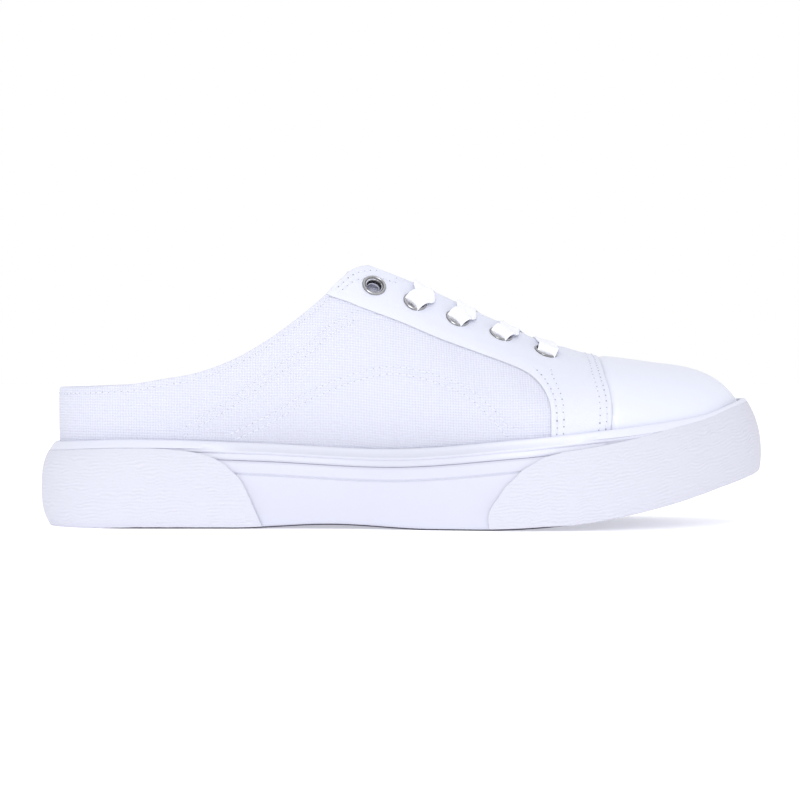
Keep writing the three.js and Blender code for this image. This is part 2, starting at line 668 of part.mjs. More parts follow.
// Skin outside the side wall that the bumper and the heel patch are cut from
function patchSkin() {
  const levels = [0.12, 0.28, 0.45, 0.65];
  const between = levels.map(levelAt);
  const nearTop = (x) => coverLine(x) - 2 * PATCH;
  const outerHeights = [aboveTread(PATCH_LIFT), ...between, nearTop, coverLine];
  const innerHeights = [aboveTread(PATCH_LIFT - GAP), ...between, nearTop, (x) => coverLine(x) + GAP];
  const outer = loft(outerHeights.map((height) => wallRing(evenly(0), height)));
  const inner = loft(innerHeights.map((height) => wallRing(evenly(PATCH), height)));
  return outer.subtract(inner);
}
const patchSkinForm = patchSkin();
function patchPoints(rows) {
  return rows.map((row) => [row.at * LENGTH, mix(coverLine(row.at * LENGTH), 0, row.drop)]);
}

function makeHeelPatch() {
  const behind = [[-PAST_END, REACH], [-PAST_END, -PAST_END]];
  return patchSkinForm.intersect(across([...patchPoints(PATCH_FRONT).reverse(), ...behind]));
}

function makeBumper() {
  const end = LENGTH + PAST_END;
  const ahead = [[end, -PAST_END], [end, REACH]];
  return patchSkinForm.intersect(across([...patchPoints(BUMPER_REAR), ...ahead]));
}

// Tread plate with flex grooves across the heel and the ball
function makeOutsole() {
  const groove = (x) => {
    const margin = shell + OUTSOLE_MARGIN + GROOVE_MARGIN;
    const outer = insetPoint(turnOf(x), margin).y;
    const inner = insetPoint(2 - turnOf(x), margin).y;
    const cut = new THREE.BoxGeometry(GROOVE_WIDTH, inner - outer, 2 * GROOVE_DEPTH);
    cut.translate(x, (inner + outer) / 2, underside(x));
    return bodyOfGeometry(cut);
  };
  const places = (from, to) => {
    const count = Math.max(1, Math.floor(((to - from) * LENGTH) / GROOVE_PITCH));
    return Array.from({ length: count }, (_, i) => from * LENGTH + (i + 0.5) * GROOVE_PITCH);
  };
  const all = [...places(HEEL_TREAD_START, HEEL_TREAD_END), ...places(FRONT_TREAD_START, TREAD_END)];
  return outsoleBody(0).subtract(wasm.Manifold.union(all.map(groove)));
}

// The insole lies in the upper on the foot bed
function makeInsole() {
  const ring = (height, eased) =>
    turns.map((turn) => {
      const share = shareOf(turn);
      const plan = insetPoint(turn, wall.inset(share) + UPPER_WALL + GAP + eased);
      return new THREE.Vector3(plan.x, plan.y, footBed(plan.x) + height);
    });
  return loft([ring(GAP, 0), ring(INSOLE - INSOLE_EASE, 0), ring(INSOLE, INSOLE_EASE)]);
}

// The tongue lies flat between the throat's edges and follows the last under the eyestays
const tongueDrop = UPPER_WALL + 2 * GAP + LACE;
function tongueTop(x, y) {
  const share = clamp((x / LENGTH - TONGUE_TOP_AT) / (TONGUE_FRONT_AT - TONGUE_TOP_AT), 0, 1);
  const settle = clamp((share - 0.72) / 0.2, 0, 1);
  const drop = mix(tongueDrop, UPPER_WALL + TONGUE_EASE, settle);
  const edge = lastAt(x, crestSide(x) - throatHalf(x)).point.z;
  const { point, normal } = lastAt(x, y);
  const lowered = point.clone().addScaledVector(normal, -drop);
  const flat = edge - drop - LACE_CLEAR;
  return new THREE.Vector3(lowered.x, lowered.y, mix(Math.min(lowered.z, flat), lowered.z, settle));
}

function makeTongue() {
  const rows = [0, 0.03, 0.09, 0.2, 0.34, 0.5, 0.66, 0.8, 0.92, 1];
  const columns = spaced(-1, 1, 8);
  const grid = (thickness) =>
    rows.map((row) => {
      const x = mix(TONGUE_TOP_AT, TONGUE_FRONT_AT, row) * LENGTH;
      const round = roundOff(row + 0.004, 0.12, 2);
      const half = mix(TONGUE_HALF_TOP, TONGUE_HALF_FRONT, row) * mix(0.6, 1, round);
      return columns.map((column) => {
        const top = tongueTop(x, crestSide(x) + half * column);
        const { normal } = lastAt(x, crestSide(x) + half * column);
        return top.addScaledVector(normal, -thickness);
      });
    });
  const upper = grid(0).flat();
  const lower = grid(TONGUE).flat();
  const wide = columns.length;
  const count = upper.length;
  const triangles = [];
  const quad = (a, b, c, d) => triangles.push([a, b, c], [a, c, d]);
  for (let r = 0; r < rows.length - 1; r += 1) {
    for (let c = 0; c < wide - 1; c += 1) {
      const i = r * wide + c;
      quad(i, i + wide, i + wide + 1, i + 1);
      quad(count + i, count + i + 1, count + i + wide + 1, count + i + wide);
    }
    const left = r * wide;
    const right = left + wide - 1;
    quad(left, count + left, count + left + wide, left + wide);
    quad(right, right + wide, count + right + wide, count + right);
  }
  const end = (rows.length - 1) * wide;
  for (let c = 0; c < wide - 1; c += 1) {
    quad(c, c + 1, count + c + 1, count + c);
    quad(end + c, count + end + c, count + end + c + 1, end + c + 1);
  }
  return bodyFrom([...upper, ...lower], triangles);
}

// A metal eyelet in its own frame: the flange rests on y = 0 and the barrel hangs below
function eyeletGeometry() {
  const barrel = UPPER_WALL + GAP + OVERLAY + EYELET_SEAT;
  const profile = [
    [EYELET_HOLE, -barrel],
    [EYELET_BARREL, -barrel],
    [EYELET_BARREL, 0],
    [EYELET_FLANGE, 0],
    [(EYELET_FLANGE + EYELET_BARREL) / 2, EYELET_HEIGHT],
    [EYELET_HOLE, EYELET_HEIGHT * 0.5],
    [EYELET_HOLE, -barrel],
  ];
  return new THREE.LatheGeometry(profile.map(([r, y]) => new THREE.Vector2(r, y)), ROUND_STEPS);
}

// Laces: flat ribbons over the eyestays and across the throat
const laceOverEyelet = GAP + OVERLAY + EYELET_SEAT + EYELET_HEIGHT + LACE_EASE + LACE / 2;
const laceOverStay = GAP + OVERLAY + LACE_EASE + LACE / 2;
const laceUnderStay = -UPPER_WALL;

// Where the eyestays are, a gap around them
const stayZone = lastBody(GAP + OVERLAY + GAP, upperFoot).subtract(throatCutter(GAP));

// Middle of a lace and its up direction over an eyestay, from the eyelet (0) to the throat's edge (1)
function overStay(place, side, towards, share) {
  const start = new THREE.Vector2(place.x, eyeletSide(place, side));
  const reach = (place.half - throatHalf(place.x)) / Math.abs(towards.y - start.y);
  const plan = start.clone().lerp(towards, reach * share);
  const { point, normal } = lastAt(plan.x, plan.y);
  const clear = share < 0.5 ? laceOverEyelet : mix(laceOverEyelet, laceOverStay, (share - 0.5) * 2);
  return { middle: point.addScaledVector(normal, clear), up: normal };
}

function laceBody(stations) {
  const half = LACE_WIDTH / 2;
  const edge = half - LACE_BEVEL;
  const section = [
    [-half, 0],
    [-edge, -LACE / 2],
    [edge, -LACE / 2],
    [half, 0],
    [edge, LACE / 2],
    [-edge, LACE / 2],
  ];
  const count = section.length;
  const points = stations.flatMap(({ middle, up }, i) => {
    const before = stations[Math.max(0, i - 1)].middle;
    const after = stations[Math.min(stations.length - 1, i + 1)].middle;
    const forward = after.clone().sub(before).normalize();
    const wide = new THREE.Vector3().crossVectors(up, forward).normalize();
    const thick = new THREE.Vector3().crossVectors(forward, wide);
    return section.map(([w, t]) => middle.clone().addScaledVector(wide, w).addScaledVector(thick, t));
  });
  const triangles = [];
  for (let i = 0; i < stations.length - 1; i += 1) {
    for (let k = 0; k < count; k += 1) {
      const next = (k + 1) % count;
      const near = i * count;
      const far = near + count;
      triangles.push([near + k, far + k, far + next], [near + k, far + next, near + next]);
    }
  }
  const end = (stations.length - 1) * count;
  for (let k = 1; k < count - 1; k += 1) {
    triangles.push([0, k, k + 1], [end, end + k + 1, end + k]);
  }
  const made = bodyFrom(points, triangles);
  if (made.volume() > 0) return made;
  return bodyFrom(points, triangles.map(([a, b, c]) => [a, c, b]));
}

// Stations between two ends across the throat, slightly arched
function bridge(from, to) {
  return spaced(0, 1, LACE_STEPS)
    .slice(1, -1)
    .map((share) => {
      const middle = from.middle.clone().lerp(to.middle, share);
      middle.z += LACE_ARCH * 4 * share * (1 - share);
      return { middle, up: from.up.clone().lerp(to.up, share).normalize() };
    });
}

// The straight bar through the front pair of eyelets
function makeLaceBar() {
  const place = eyeletPlaces[EYELET_COUNT - 1];
  const far = (side) => new THREE.Vector2(place.x, eyeletSide(place, -side));
  const climb = (side) => [0, 0.5, 1].map((share) => overStay(place, side, far(side), share));
  const outer = climb(OUTER);
  const inner = climb(INNER).reverse();
  return laceBody([...outer, ...bridge(outer[outer.length - 1], inner[0]), ...inner]).subtract(stayZone);
}

// Two ribbons that cross: each goes over one eyestay to its eyelet and under the edge of the other
function makeLaceCross(index) {
  const place = eyeletPlaces[index];
  const next = eyeletPlaces[index + 1];
  const ribbon = (side) => {
    const far = new THREE.Vector2(next.x, eyeletSide(next, -side));
    const over = [0, 0.5, 1].map((share) => overStay(place, side, far, share));
    const start = new THREE.Vector2(place.x, eyeletSide(place, side));
    const reach = (next.half - throatHalf(next.x)) / Math.abs(far.y - start.y);
    const plan = far.clone().lerp(start, reach);
    const { point, normal } = lastAt(plan.x, plan.y);
    const under = { middle: point.addScaledVector(normal, laceUnderStay + LACE / 2), up: normal };
    return laceBody([...over, ...bridge(over[over.length - 1], under), under]);
  };
  return ribbon(OUTER).add(ribbon(INNER)).subtract(stayZone);
}

// Finishes
function finish(color, roughness, metalness = 0) {
  return new THREE.MeshStandardMaterial({ color, roughness, metalness });
}
const canvas = finish(0xf1f2f7, 0.95);
const twill = finish(0xf3f4f9, 0.9);
const capRubber = finish(0xeeeff6, 0.55);
const soleRubber = finish(0xefeff5, 0.6);
const treadRubber = finish(0xe9e9ee, 0.75);
const insoleCloth = finish(0xf0f0f2, 0.95);
const laceCotton = finish(0xf7f8fc, 0.9);
const nickel = finish(0x9a9ba0, 0.3, 1);

const shoe = new THREE.Group();

// Adds a body to the shoe as a named mesh
function addBody(name, body, material) {
  const made = body.getMesh();
  const geometry = new THREE.BufferGeometry();
  const corners = new Float32Array(made.numVert * 3);
  for (let i = 0; i < made.numVert; i += 1) {
    corners.set(made.vertProperties.subarray(i * made.numProp, i * made.numProp + 3), i * 3);
  }
  geometry.setAttribute("position", new THREE.BufferAttribute(corners, 3));
  geometry.setIndex(new THREE.BufferAttribute(made.triVerts, 1));
  geometry.computeVertexNormals();
  const mesh = new THREE.Mesh(geometry, material);
  mesh.name = name;
  shoe.add(mesh);
}

addBody("outsole", makeOutsole(), treadRubber);
addBody("midsole", makeCup(), soleRubber);
addBody("foxing_strip", makeStrip(), soleRubber);
addBody("heel_patch", makeHeelPatch(), soleRubber);
addBody("toe_bumper", makeBumper(), soleRubber);
addBody("insole", makeInsole(), insoleCloth);
addBody("upper", makeUpper(), canvas);
addBody("vamp_eyestay", makeVamp(), twill);
addBody("toe_cap", makeToeCap(), capRubber);
addBody("tongue", makeTongue(), canvas);

for (const [side, word] of [[OUTER, "outer"], [INNER, "inner"]]) {
  eyeletPlaces.forEach((place, i) => {
    const { point, normal } = lastAt(place.x, eyeletSide(place, side));
    const eyelet = new THREE.Mesh(eyeletGeometry(), nickel);
    eyelet.name = `eyelet_${word}_${i + 1}`;
    eyelet.position.copy(point).addScaledVector(normal, GAP + OVERLAY + EYELET_SEAT);
    eyelet.quaternion.setFromUnitVectors(new THREE.Vector3(0, 1, 0), normal);
    shoe.add(eyelet);
  });
}

for (let i = 1; i < EYELET_COUNT - 1; i += 1) addBody(`lace_cross_${i}`, makeLaceCross(i), laceCotton);
addBody("lace_bar", makeLaceBar(), laceCotton);

// The frame's origin is on the floor, midway between the outline's extremes
const extremes = spaced(0, 2, 400).map((turn) => outlinePoint(turn).y);
shoe.position.set(-LENGTH / 2, -(Math.max(...extremes) + Math.min(...extremes)) / 2, 0);

export default shoe;
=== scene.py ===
# Looks of a low canvas sneaker mule for the right foot.
# Sizes are in millimetres with X from the heel's tip to the toe, Y to the inner (big toe) side and Z up.
# place() turns them into metres in the frame.
import math
from typing import NamedTuple

import bpy
import numpy as np
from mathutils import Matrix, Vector
from mathutils.bvhtree import BVHTree


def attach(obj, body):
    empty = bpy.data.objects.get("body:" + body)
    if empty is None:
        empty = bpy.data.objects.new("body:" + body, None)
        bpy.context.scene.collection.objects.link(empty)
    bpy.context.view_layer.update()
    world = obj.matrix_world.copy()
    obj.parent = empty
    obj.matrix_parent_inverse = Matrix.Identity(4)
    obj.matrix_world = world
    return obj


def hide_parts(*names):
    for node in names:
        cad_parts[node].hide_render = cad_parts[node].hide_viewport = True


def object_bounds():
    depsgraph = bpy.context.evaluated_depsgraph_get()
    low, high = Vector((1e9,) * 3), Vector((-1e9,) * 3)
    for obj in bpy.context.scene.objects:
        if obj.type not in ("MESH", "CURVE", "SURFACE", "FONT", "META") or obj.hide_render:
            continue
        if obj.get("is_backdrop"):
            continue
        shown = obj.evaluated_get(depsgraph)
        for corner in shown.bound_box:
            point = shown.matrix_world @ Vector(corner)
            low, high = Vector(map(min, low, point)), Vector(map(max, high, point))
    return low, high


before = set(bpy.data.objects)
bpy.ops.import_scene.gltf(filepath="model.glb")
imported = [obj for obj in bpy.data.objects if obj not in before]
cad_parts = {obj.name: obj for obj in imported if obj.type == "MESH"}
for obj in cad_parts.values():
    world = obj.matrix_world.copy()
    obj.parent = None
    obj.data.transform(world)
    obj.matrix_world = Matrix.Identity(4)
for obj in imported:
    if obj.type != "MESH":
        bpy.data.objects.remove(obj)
cad_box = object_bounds()

# Driving sizes of the whole shoe
LENGTH = 276.0
BALL_WIDTH = 100.0
HEEL_WIDTH = 70.0
SOLE_HEIGHT = 32.0
TOE_LIP_HEIGHT = 49.3
TOE_SPRING = 22.0
ARCH_RISE = 1.5
HEEL_RIM_RISE = 20.7
INSTEP_RISE = 66.3

# Walls and pieces
UPPER_WALL = 1.7
OVERLAY_OUT = 1.3
CAP_OUT = 1.1
PATCH = 0.9
SHELL = 1.2  # the cup's side lies this far behind patch and bumper
STRIP_HEIGHT = 6.8
STRIP_HOLLOW = 0.7
BEAD_TOP = 3.1
BEAD_HEIGHT = 0.9
BEAD_SLOPE = 0.45
STRIP_FLUSH = 0.12
BAND_BOTTOM = 11.8
BAND_LINE = 0.5
PATCH_LIFT = 0.5
FOOT_BEVEL = 0.9
INSOLE = 4.0
INSOLE_EASE = 0.9  # from the upper's wall
HEEL_HOLLOW = 0.9
HOLLOW_END = 0.35  # share of LENGTH
OUTSOLE = 4.5
OUTSOLE_MARGIN = 2.6
PLATE_EASE = 0.4
CUP_INSIDE = 0.5  # side and strip reach this far in behind the upper's wall
STRIP_INSIDE = 0.4
GROOVE_DEPTH = 1.3
GROOVE_WIDTH = 2.4
GROOVE_PITCH = 11.0
TREAD_DEPTH = 0.45
TREAD_PITCH = 3.7
ZIGZAG = 4.0
ZIGZAG_PITCH = 9.0
TREAD_CLEAR = (3.0, 4.5)  # from the plate's edge
TONGUE = 2.2
TONGUE_EASE = 0.9
TONGUE_HALF_TOP = 27.0
TONGUE_HALF_FRONT = 19.0
TONGUE_UNDER_LACES = 0.6
TONGUE_FLAT = 0.4  # lies this far under the throat's edge
TONGUE_SETTLES = (0.72, 0.92)  # shares of its length over which it closes up to the upper

# Throat, eyelets, laces and thread
THROAT_HALF_TOP = 15.5
THROAT_HALF_FRONT = 11.5
EYELET_HALVES = (22.3, 23.3, 23.4, 23.1, 22.5)  # from the centre line, top pair first
EYELET_COUNT = len(EYELET_HALVES)
EYELET_BOW = 1.1
EYELET_BARREL = 3.0
LACE_WIDTH = 8.0
LACE = 1.1
STITCH_PITCH = 2.5
STITCH_LENGTH = 1.75
THREAD = 0.42
PINHOLE = 0.3

OUTER = -1
INNER = 1

# Shares of LENGTH
HEEL_ROUND = 0.155
TOE_ROUND = 0.275
HEEL_ROUND_POWER = 2.3
TOE_ROUND_POWER = 2.25
ROCKER_START = 0.6
ARCH_START = 0.27
ARCH_END = 0.54
TREAD_END = 0.7
HEEL_TREAD_START = 0.06
HEEL_TREAD_END = 0.25
FRONT_TREAD_START = 0.5
EYELET_TOP_AT = 0.461
EYELET_FRONT_AT = 0.694
THROAT_TOP_AT = 0.47
THROAT_FRONT_AT = 0.722
TONGUE_TOP_AT = 0.435
TONGUE_FRONT_AT = 0.78
HEEL_FAN = 0.25
TOE_FAN = 0.725
FAN_SLOWING = 0.95
COLLAR_FRONT_AT = 0.49

# Soft changes along the shoe: shares of LENGTH where each begins and where it is whole
BEAD_TO_HEEL = (0.20, 0.15)  # the strip's bead and hollow come forward to the heel patch
BEAD_TO_TOE = (0.77, 0.83)  # and to the toe bumper
# The next six spans set where painted shade darkens the strip, the canvas near the sole and the toe bumper
STRIP_SHADE_FRONT = (0.72, 0.57)
WAIST_SHADE_REAR = (0.20, 0.28)
WAIST_SHADE_FRONT = (0.68, 0.58)
UPPER_SHADE_REAR = (0.18, 0.33)
UPPER_SHADE_FRONT = (0.55, 0.67)
BUMPER_SHADE = (0.70, 0.95)
HEEL_CLOSES = (0.14, 0.08)  # heel patch and bumper come down to the floor here
TOE_CLOSES = (0.68, 0.73)
TIP = (0.93, 0.98)
RIDGE_REAR = (0.40, 0.45)  # the crest is rounded off between these two
RIDGE_FRONT = (0.88, 0.80)
WAVES_FRONT = (0.80, 0.74)  # the cloth's soft waves end before the toe cap

# The photograph's view: the camera stands level with the instep and looks a little down
PHOTO_WIDTH = 800
FOCAL_PIXELS = 2604.0
SENSOR_WIDTH = 36.0
CAMERA_DISTANCE = 1000.0
CAMERA_HEIGHT = 62.0
CAMERA_SIDE = -0.8
CAMERA_DROP = 0.836  # degrees

# Fineness of the meshes
STATIONS = 290
SKIRT_ROWS = 14
CROWN_ROWS = 56
WALL_STATIONS = 420
PATCH_ROWS = 104
TONGUE_ROWS = 110
TONGUE_COLUMNS = 61
LACE_COLUMNS = 15
RIDGE_ROWS = 9
RIDGE_PASSES = 20
RIDGE_SOFTENING = 0.7
RIM_STEPS = 5
ROUND_SIDES = 40
THREAD_SIDES = 6
PINHOLE_SIDES = 7


def columns(names, rows):
    return dict(zip(names.split(), np.array(rows, float).T))


# How far each side of the outline has opened from half the heel's width (0) to half the ball's (1)
OUTLINE = columns("at centre outer inner", [
    (0.00, 0.000, 0.00, 0.00),
    (0.15, 0.000, 0.02, 0.00),
    (0.30, 0.000, 0.04, -0.12),
    (0.42, 0.000, 0.22, -0.18),
    (0.55, 0.000, 0.72, 0.22),
    (0.65, 0.000, 1.00, 0.74),
    (0.74, 0.005, 1.03, 0.97),
    (0.86, 0.025, 0.92, 0.92),
    (1.00, 0.050, 0.60, 0.65),
])

# The side wall in section: mm inside the outline at its top and bottom, where it is fullest, how suddenly
# it turns in, where the upper stands at the top edge, how deep patch and bumper begin, and how far the
# strip above them stands out level with them
WALL = columns("at top bottom full power inset cover flush", [
    (0.00, 5.2, 3.4, 0.45, 3.00, 7.1, 3.4, 1.0),
    (0.16, 4.6, 2.6, 0.42, 2.80, 6.8, 3.4, 1.0),
    (0.30, 3.2, 1.4, 0.38, 2.40, 5.9, 3.9, 0.2),
    (0.55, 3.0, 1.2, 0.35, 2.20, 6.2, 6.0, 0.0),
    (0.72, 3.3, 1.2, 0.31, 2.20, 6.9, 6.1, 0.3),
    (0.80, 3.8, 1.3, 0.28, 2.20, 7.0, 4.8, 1.0),
    (0.87, 4.6, 1.4, 0.26, 2.15, 7.0, 2.6, 1.0),
    (0.93, 5.4, 1.5, 0.24, 2.15, 7.1, 1.7, 1.0),
    (1.00, 6.0, 1.6, 0.22, 2.15, 7.2, 1.6, 1.0),
])

# The sole's top edge as a share of SOLE_HEIGHT, its share of the toe lip's extra height, and the foot bed
SOLE_LINE = columns("at edge lift bed", [
    (0.000, 0.985, 0.00, 0.66),
    (0.120, 1.035, 0.00, 0.65),
    (0.300, 1.000, 0.00, 0.60),
    (0.490, 0.935, 0.00, 0.52),
    (0.655, 0.985, 0.11, 0.45),
    (0.760, 1.000, 0.26, 0.42),
    (0.850, 1.000, 0.44, 0.41),
    (0.910, 1.000, 0.60, 0.40),
    (0.960, 1.000, 0.87, 0.39),
    (1.000, 1.000, 1.03, 0.38),
])

# The last: crest and widest level as shares of INSTEP_RISE, mm that it turns in below that, how square
# each side's section is, and the crest's offset to the inner side as a share of BALL_WIDTH
LAST = columns("at ridge wide tuck outer inner lean", [
    (0.000, 1.000, 0.12, 0.3, 3.00, 3.00, -0.020),
    (0.130, 1.090, 0.13, 0.4, 3.00, 3.00, -0.025),
    (0.290, 1.150, 0.20, 1.6, 2.60, 2.60, -0.030),
    (0.400, 1.150, 0.25, 2.8, 2.20, 2.30, -0.030),
    (0.457, 1.086, 0.26, 3.0, 1.88, 2.05, -0.020),
    (0.517, 0.970, 0.25, 2.8, 1.68, 1.98, -0.005),
    (0.575, 0.845, 0.22, 2.2, 1.58, 1.90, 0.010),
    (0.635, 0.704, 0.19, 1.5, 1.60, 1.88, 0.020),
    (0.695, 0.573, 0.15, 0.9, 1.67, 1.86, 0.025),
    (0.748, 0.493, 0.12, 0.4, 1.82, 1.92, 0.030),
    (0.800, 0.465, 0.09, 0.1, 2.00, 2.00, 0.035),
    (0.860, 0.430, 0.05, 0.0, 2.20, 2.20, 0.040),
    (0.930, 0.400, 0.03, 0.0, 2.35, 2.35, 0.045),
    (1.000, 0.375, 0.03, 0.0, 2.40, 2.40, 0.045),
])

# Collar in side view: climb 0 is the heel rim and 1 the top of the eyestay
COLLAR = columns("at climb", [
    (0.000, 0.000), (0.060, 0.005), (0.130, 0.024), (0.172, 0.064), (0.226, 0.125),
    (0.280, 0.252), (0.334, 0.452), (0.388, 0.713), (0.414, 0.871), (0.430, 0.957),
    (0.445, 0.993), (0.460, 1.000), (0.475, 0.985), (0.490, 0.950),
])

# Lower edge of the eyestay and rear edge of the vamp, and its front edge; rise is a share of INSTEP_RISE
VAMP_REAR = columns("rise at", [
    (-0.100, 0.697), (0.131, 0.697), (0.225, 0.695), (0.308, 0.686), (0.374, 0.671),
    (0.419, 0.651), (0.492, 0.605), (0.575, 0.551), (0.671, 0.497), (0.756, 0.443),
    (0.790, 0.423), (0.820, 0.402), (0.900, 0.360),
])
VAMP_FRONT = columns("rise at", [
    (-0.100, 0.777), (0.075, 0.778), (0.158, 0.780), (0.268, 0.779), (0.374, 0.774),
    (0.498, 0.771), (0.600, 0.771),
])

# Front edge of the heel patch and rear edge of the toe bumper; drop runs from their top edge (0) to the
# floor (1)
PATCH_FRONT = columns("drop at", [
    (-0.60, 0.160), (-0.02, 0.170), (0.00, 0.188), (0.02, 0.215), (0.055, 0.236),
    (0.14, 0.258), (0.23, 0.270), (0.35, 0.283), (0.53, 0.293), (0.73, 0.302),
    (0.96, 0.312), (1.10, 0.318),
])
BUMPER_REAR = columns("drop at", [
    (-0.60, 0.740), (0.00, 0.710), (0.03, 0.690), (0.09, 0.676), (0.18, 0.658),
    (0.28, 0.648), (0.40, 0.635), (0.54, 0.626), (0.67, 0.617), (0.81, 0.613),
    (1.10, 0.616),
])

# Two double seams that cross the canvas in side view; rise is a share of INSTEP_RISE
SEAM_REAR = columns("at rise", [
    (0.198, 0.035), (0.230, 0.125), (0.266, 0.213), (0.312, 0.348), (0.342, 0.434),
    (0.376, 0.528), (0.399, 0.618), (0.437, 0.718),
])
SEAM_ARCH = columns("at rise", [
    (0.265, 0.020), (0.285, 0.058), (0.328, 0.147), (0.373, 0.257), (0.419, 0.341),
    (0.456, 0.389), (0.478, 0.405), (0.503, 0.402), (0.542, 0.363), (0.582, 0.297),
    (0.604, 0.225), (0.621, 0.163), (0.641, 0.060),
])

# Soft creases of the worn-in shape: a line in side view from one place to the other, its half width and
# its depth in mm, where a depth below 0 is a ridge
CREASES = columns("at rise to_at to_rise half deep", [
    (0.560, 0.60, 0.650, 0.20, 5.0, 0.45),
    (0.600, 0.55, 0.690, 0.10, 4.0, -0.35),
    (0.300, 0.05, 0.520, 0.07, 6.0, -0.50),
    (0.350, 0.42, 0.470, 0.20, 7.0, 0.40),
    (0.120, 0.06, 0.220, 0.12, 7.0, 0.35),
    (0.715, 0.44, 0.735, 0.10, 5.0, 0.35),
    (0.748, 0.42, 0.760, 0.08, 4.0, -0.25),
])
CREASE_ENDS = (0.15, 0.85)  # how far into a half wave a crease starts and ends
INNER_CREASES = 0.8  # creases are shallower on the inner side


def mix(a, b, share):
    return a + (b - a) * share


def ramp(value, start, end):
    """0 up to the start and 1 from the end on"""
    return np.clip((value - start) / (end - start), 0, 1)


def along(table, column, key="at"):
    """A smooth function through one column of a table"""
    at = table[key]
    value = table[column]
    before = np.maximum(np.arange(len(at)) - 1, 0)
    after = np.minimum(np.arange(len(at)) + 1, len(at) - 1)
    slope = (value[after] - value[before]) / (at[after] - at[before])

    def curve(share):
        s = np.clip(share, at[0], at[-1])
        i = np.clip(np.searchsorted(at, s) - 1, 0, len(at) - 2)
        span = at[i + 1] - at[i]
        k = (s - at[i]) / span
        bend = k * k * (3 - 2 * k)
        leave = span * slope[i] * k * (1 - k) ** 2
        arrive = span * slope[i + 1] * k * k * (k - 1)
        return mix(value[i], value[i + 1], bend) + leave + arrive

    return curve


def curves_of(table):
    return {name: along(table, name) for name in table if name != "at"}


outline = curves_of(OUTLINE)
wall = curves_of(WALL)
sole_line = curves_of(SOLE_LINE)
last = curves_of(LAST)
collar_climb = along(COLLAR, "climb")
vamp_rear = along(VAMP_REAR, "at", "rise")
vamp_front = along(VAMP_FRONT, "at", "rise")
patch_front = along(PATCH_FRONT, "at", "drop")
bumper_rear = along(BUMPER_REAR, "at", "drop")
seam_rear = along(SEAM_REAR, "rise")
seam_arch = along(SEAM_ARCH, "rise")


# Heights over the floor at x
def underside(x):
    rocker = np.maximum(0, x / LENGTH - ROCKER_START) / (1 - ROCKER_START)
    arch = ramp(x / LENGTH, ARCH_START, ARCH_END)
    return TOE_SPRING * rocker**2 + ARCH_RISE * np.sin(math.pi * arch) ** 2


def top_edge(x):
    lip = (TOE_LIP_HEIGHT - SOLE_HEIGHT) * sole_line["lift"](x / LENGTH)
    return SOLE_HEIGHT * sole_line["edge"](x / LENGTH) + lip


def foot_bed(x):
    return underside(x) + SOLE_HEIGHT * sole_line["bed"](x / LENGTH)


def crest(x):
    return SOLE_HEIGHT + INSTEP_RISE * last["ridge"](x / LENGTH)


def widest_level(x):
    return SOLE_HEIGHT + INSTEP_RISE * last["wide"](x / LENGTH)


def collar_height(x):
    return SOLE_HEIGHT + mix(HEEL_RIM_RISE, INSTEP_RISE, collar_climb(x / LENGTH))


def cover_line(x):
    return top_edge(x) - wall["cover"](x / LENGTH)


def crest_side(x):
    return BALL_WIDTH * last["lean"](x / LENGTH)


def throat_half(x):
    share = ramp(x / LENGTH, THROAT_TOP_AT, THROAT_FRONT_AT)
    return mix(THROAT_HALF_TOP, THROAT_HALF_FRONT, share)


# A turn runs from 0 at the heel's tip, along the outer side to 1 at the toe's, and back to 2
def share_of(turn):
    return (1 - np.cos(math.pi * turn)) / 2


def on_outer_side(turn):
    return (turn + 2) % 2 < 1


def round_off(share, reach, power):
    return (1 - (1 - np.clip(share / reach, 0, 1)) ** power) ** (1 / power)


def outline_point(turn):
    share = share_of(turn)
    outer = on_outer_side(turn)
    flare = np.where(outer, outline["outer"](share), outline["inner"](share))
    body = mix(HEEL_WIDTH, BALL_WIDTH, flare) / 2
    heel_end = round_off(share, HEEL_ROUND, HEEL_ROUND_POWER)
    toe_end = round_off(1 - share, TOE_ROUND, TOE_ROUND_POWER)
    side = np.where(outer, OUTER, INNER)
    y = outline["centre"](share) * BALL_WIDTH + side * body * heel_end * toe_end
    return np.stack([share * LENGTH, y], axis=-1)


def inset_point(turn, inset):
    """The outline moved inwards"""
    step = 0.002
    chord = unit(outline_point(turn + step) - outline_point(turn - step))
    inwards = np.stack([-chord[..., 1], chord[..., 0]], axis=-1)
    return outline_point(turn) + inwards * np.asarray(inset)[..., None]


outline_sides = outline_point(np.linspace(0, 2, 401))[:, 1]
OUTLINE_MIDDLE = (outline_sides.max() + outline_sides.min()) / 2


def place(points):
    """Millimetres from the heel's tip to metres in the frame"""
    return (np.asarray(points, float) - (LENGTH / 2, OUTLINE_MIDDLE, 0)) / 1000


def lifted(plan, z):
    return np.concatenate([plan, z[..., None]], axis=-1)


def crest_point(share):
    """Where on the crest the rib of a station ends: ribs fan at the shoe's ends"""
    ahead = np.maximum(0, share - TOE_FAN)
    behind = np.maximum(0, HEEL_FAN - share)
    slow = FAN_SLOWING * (behind**2 / (2 * HEEL_FAN) - ahead**2 / (2 * (1 - TOE_FAN)))
    x = (share + slow) * LENGTH
    return np.stack([x, crest_side(x)], axis=-1)


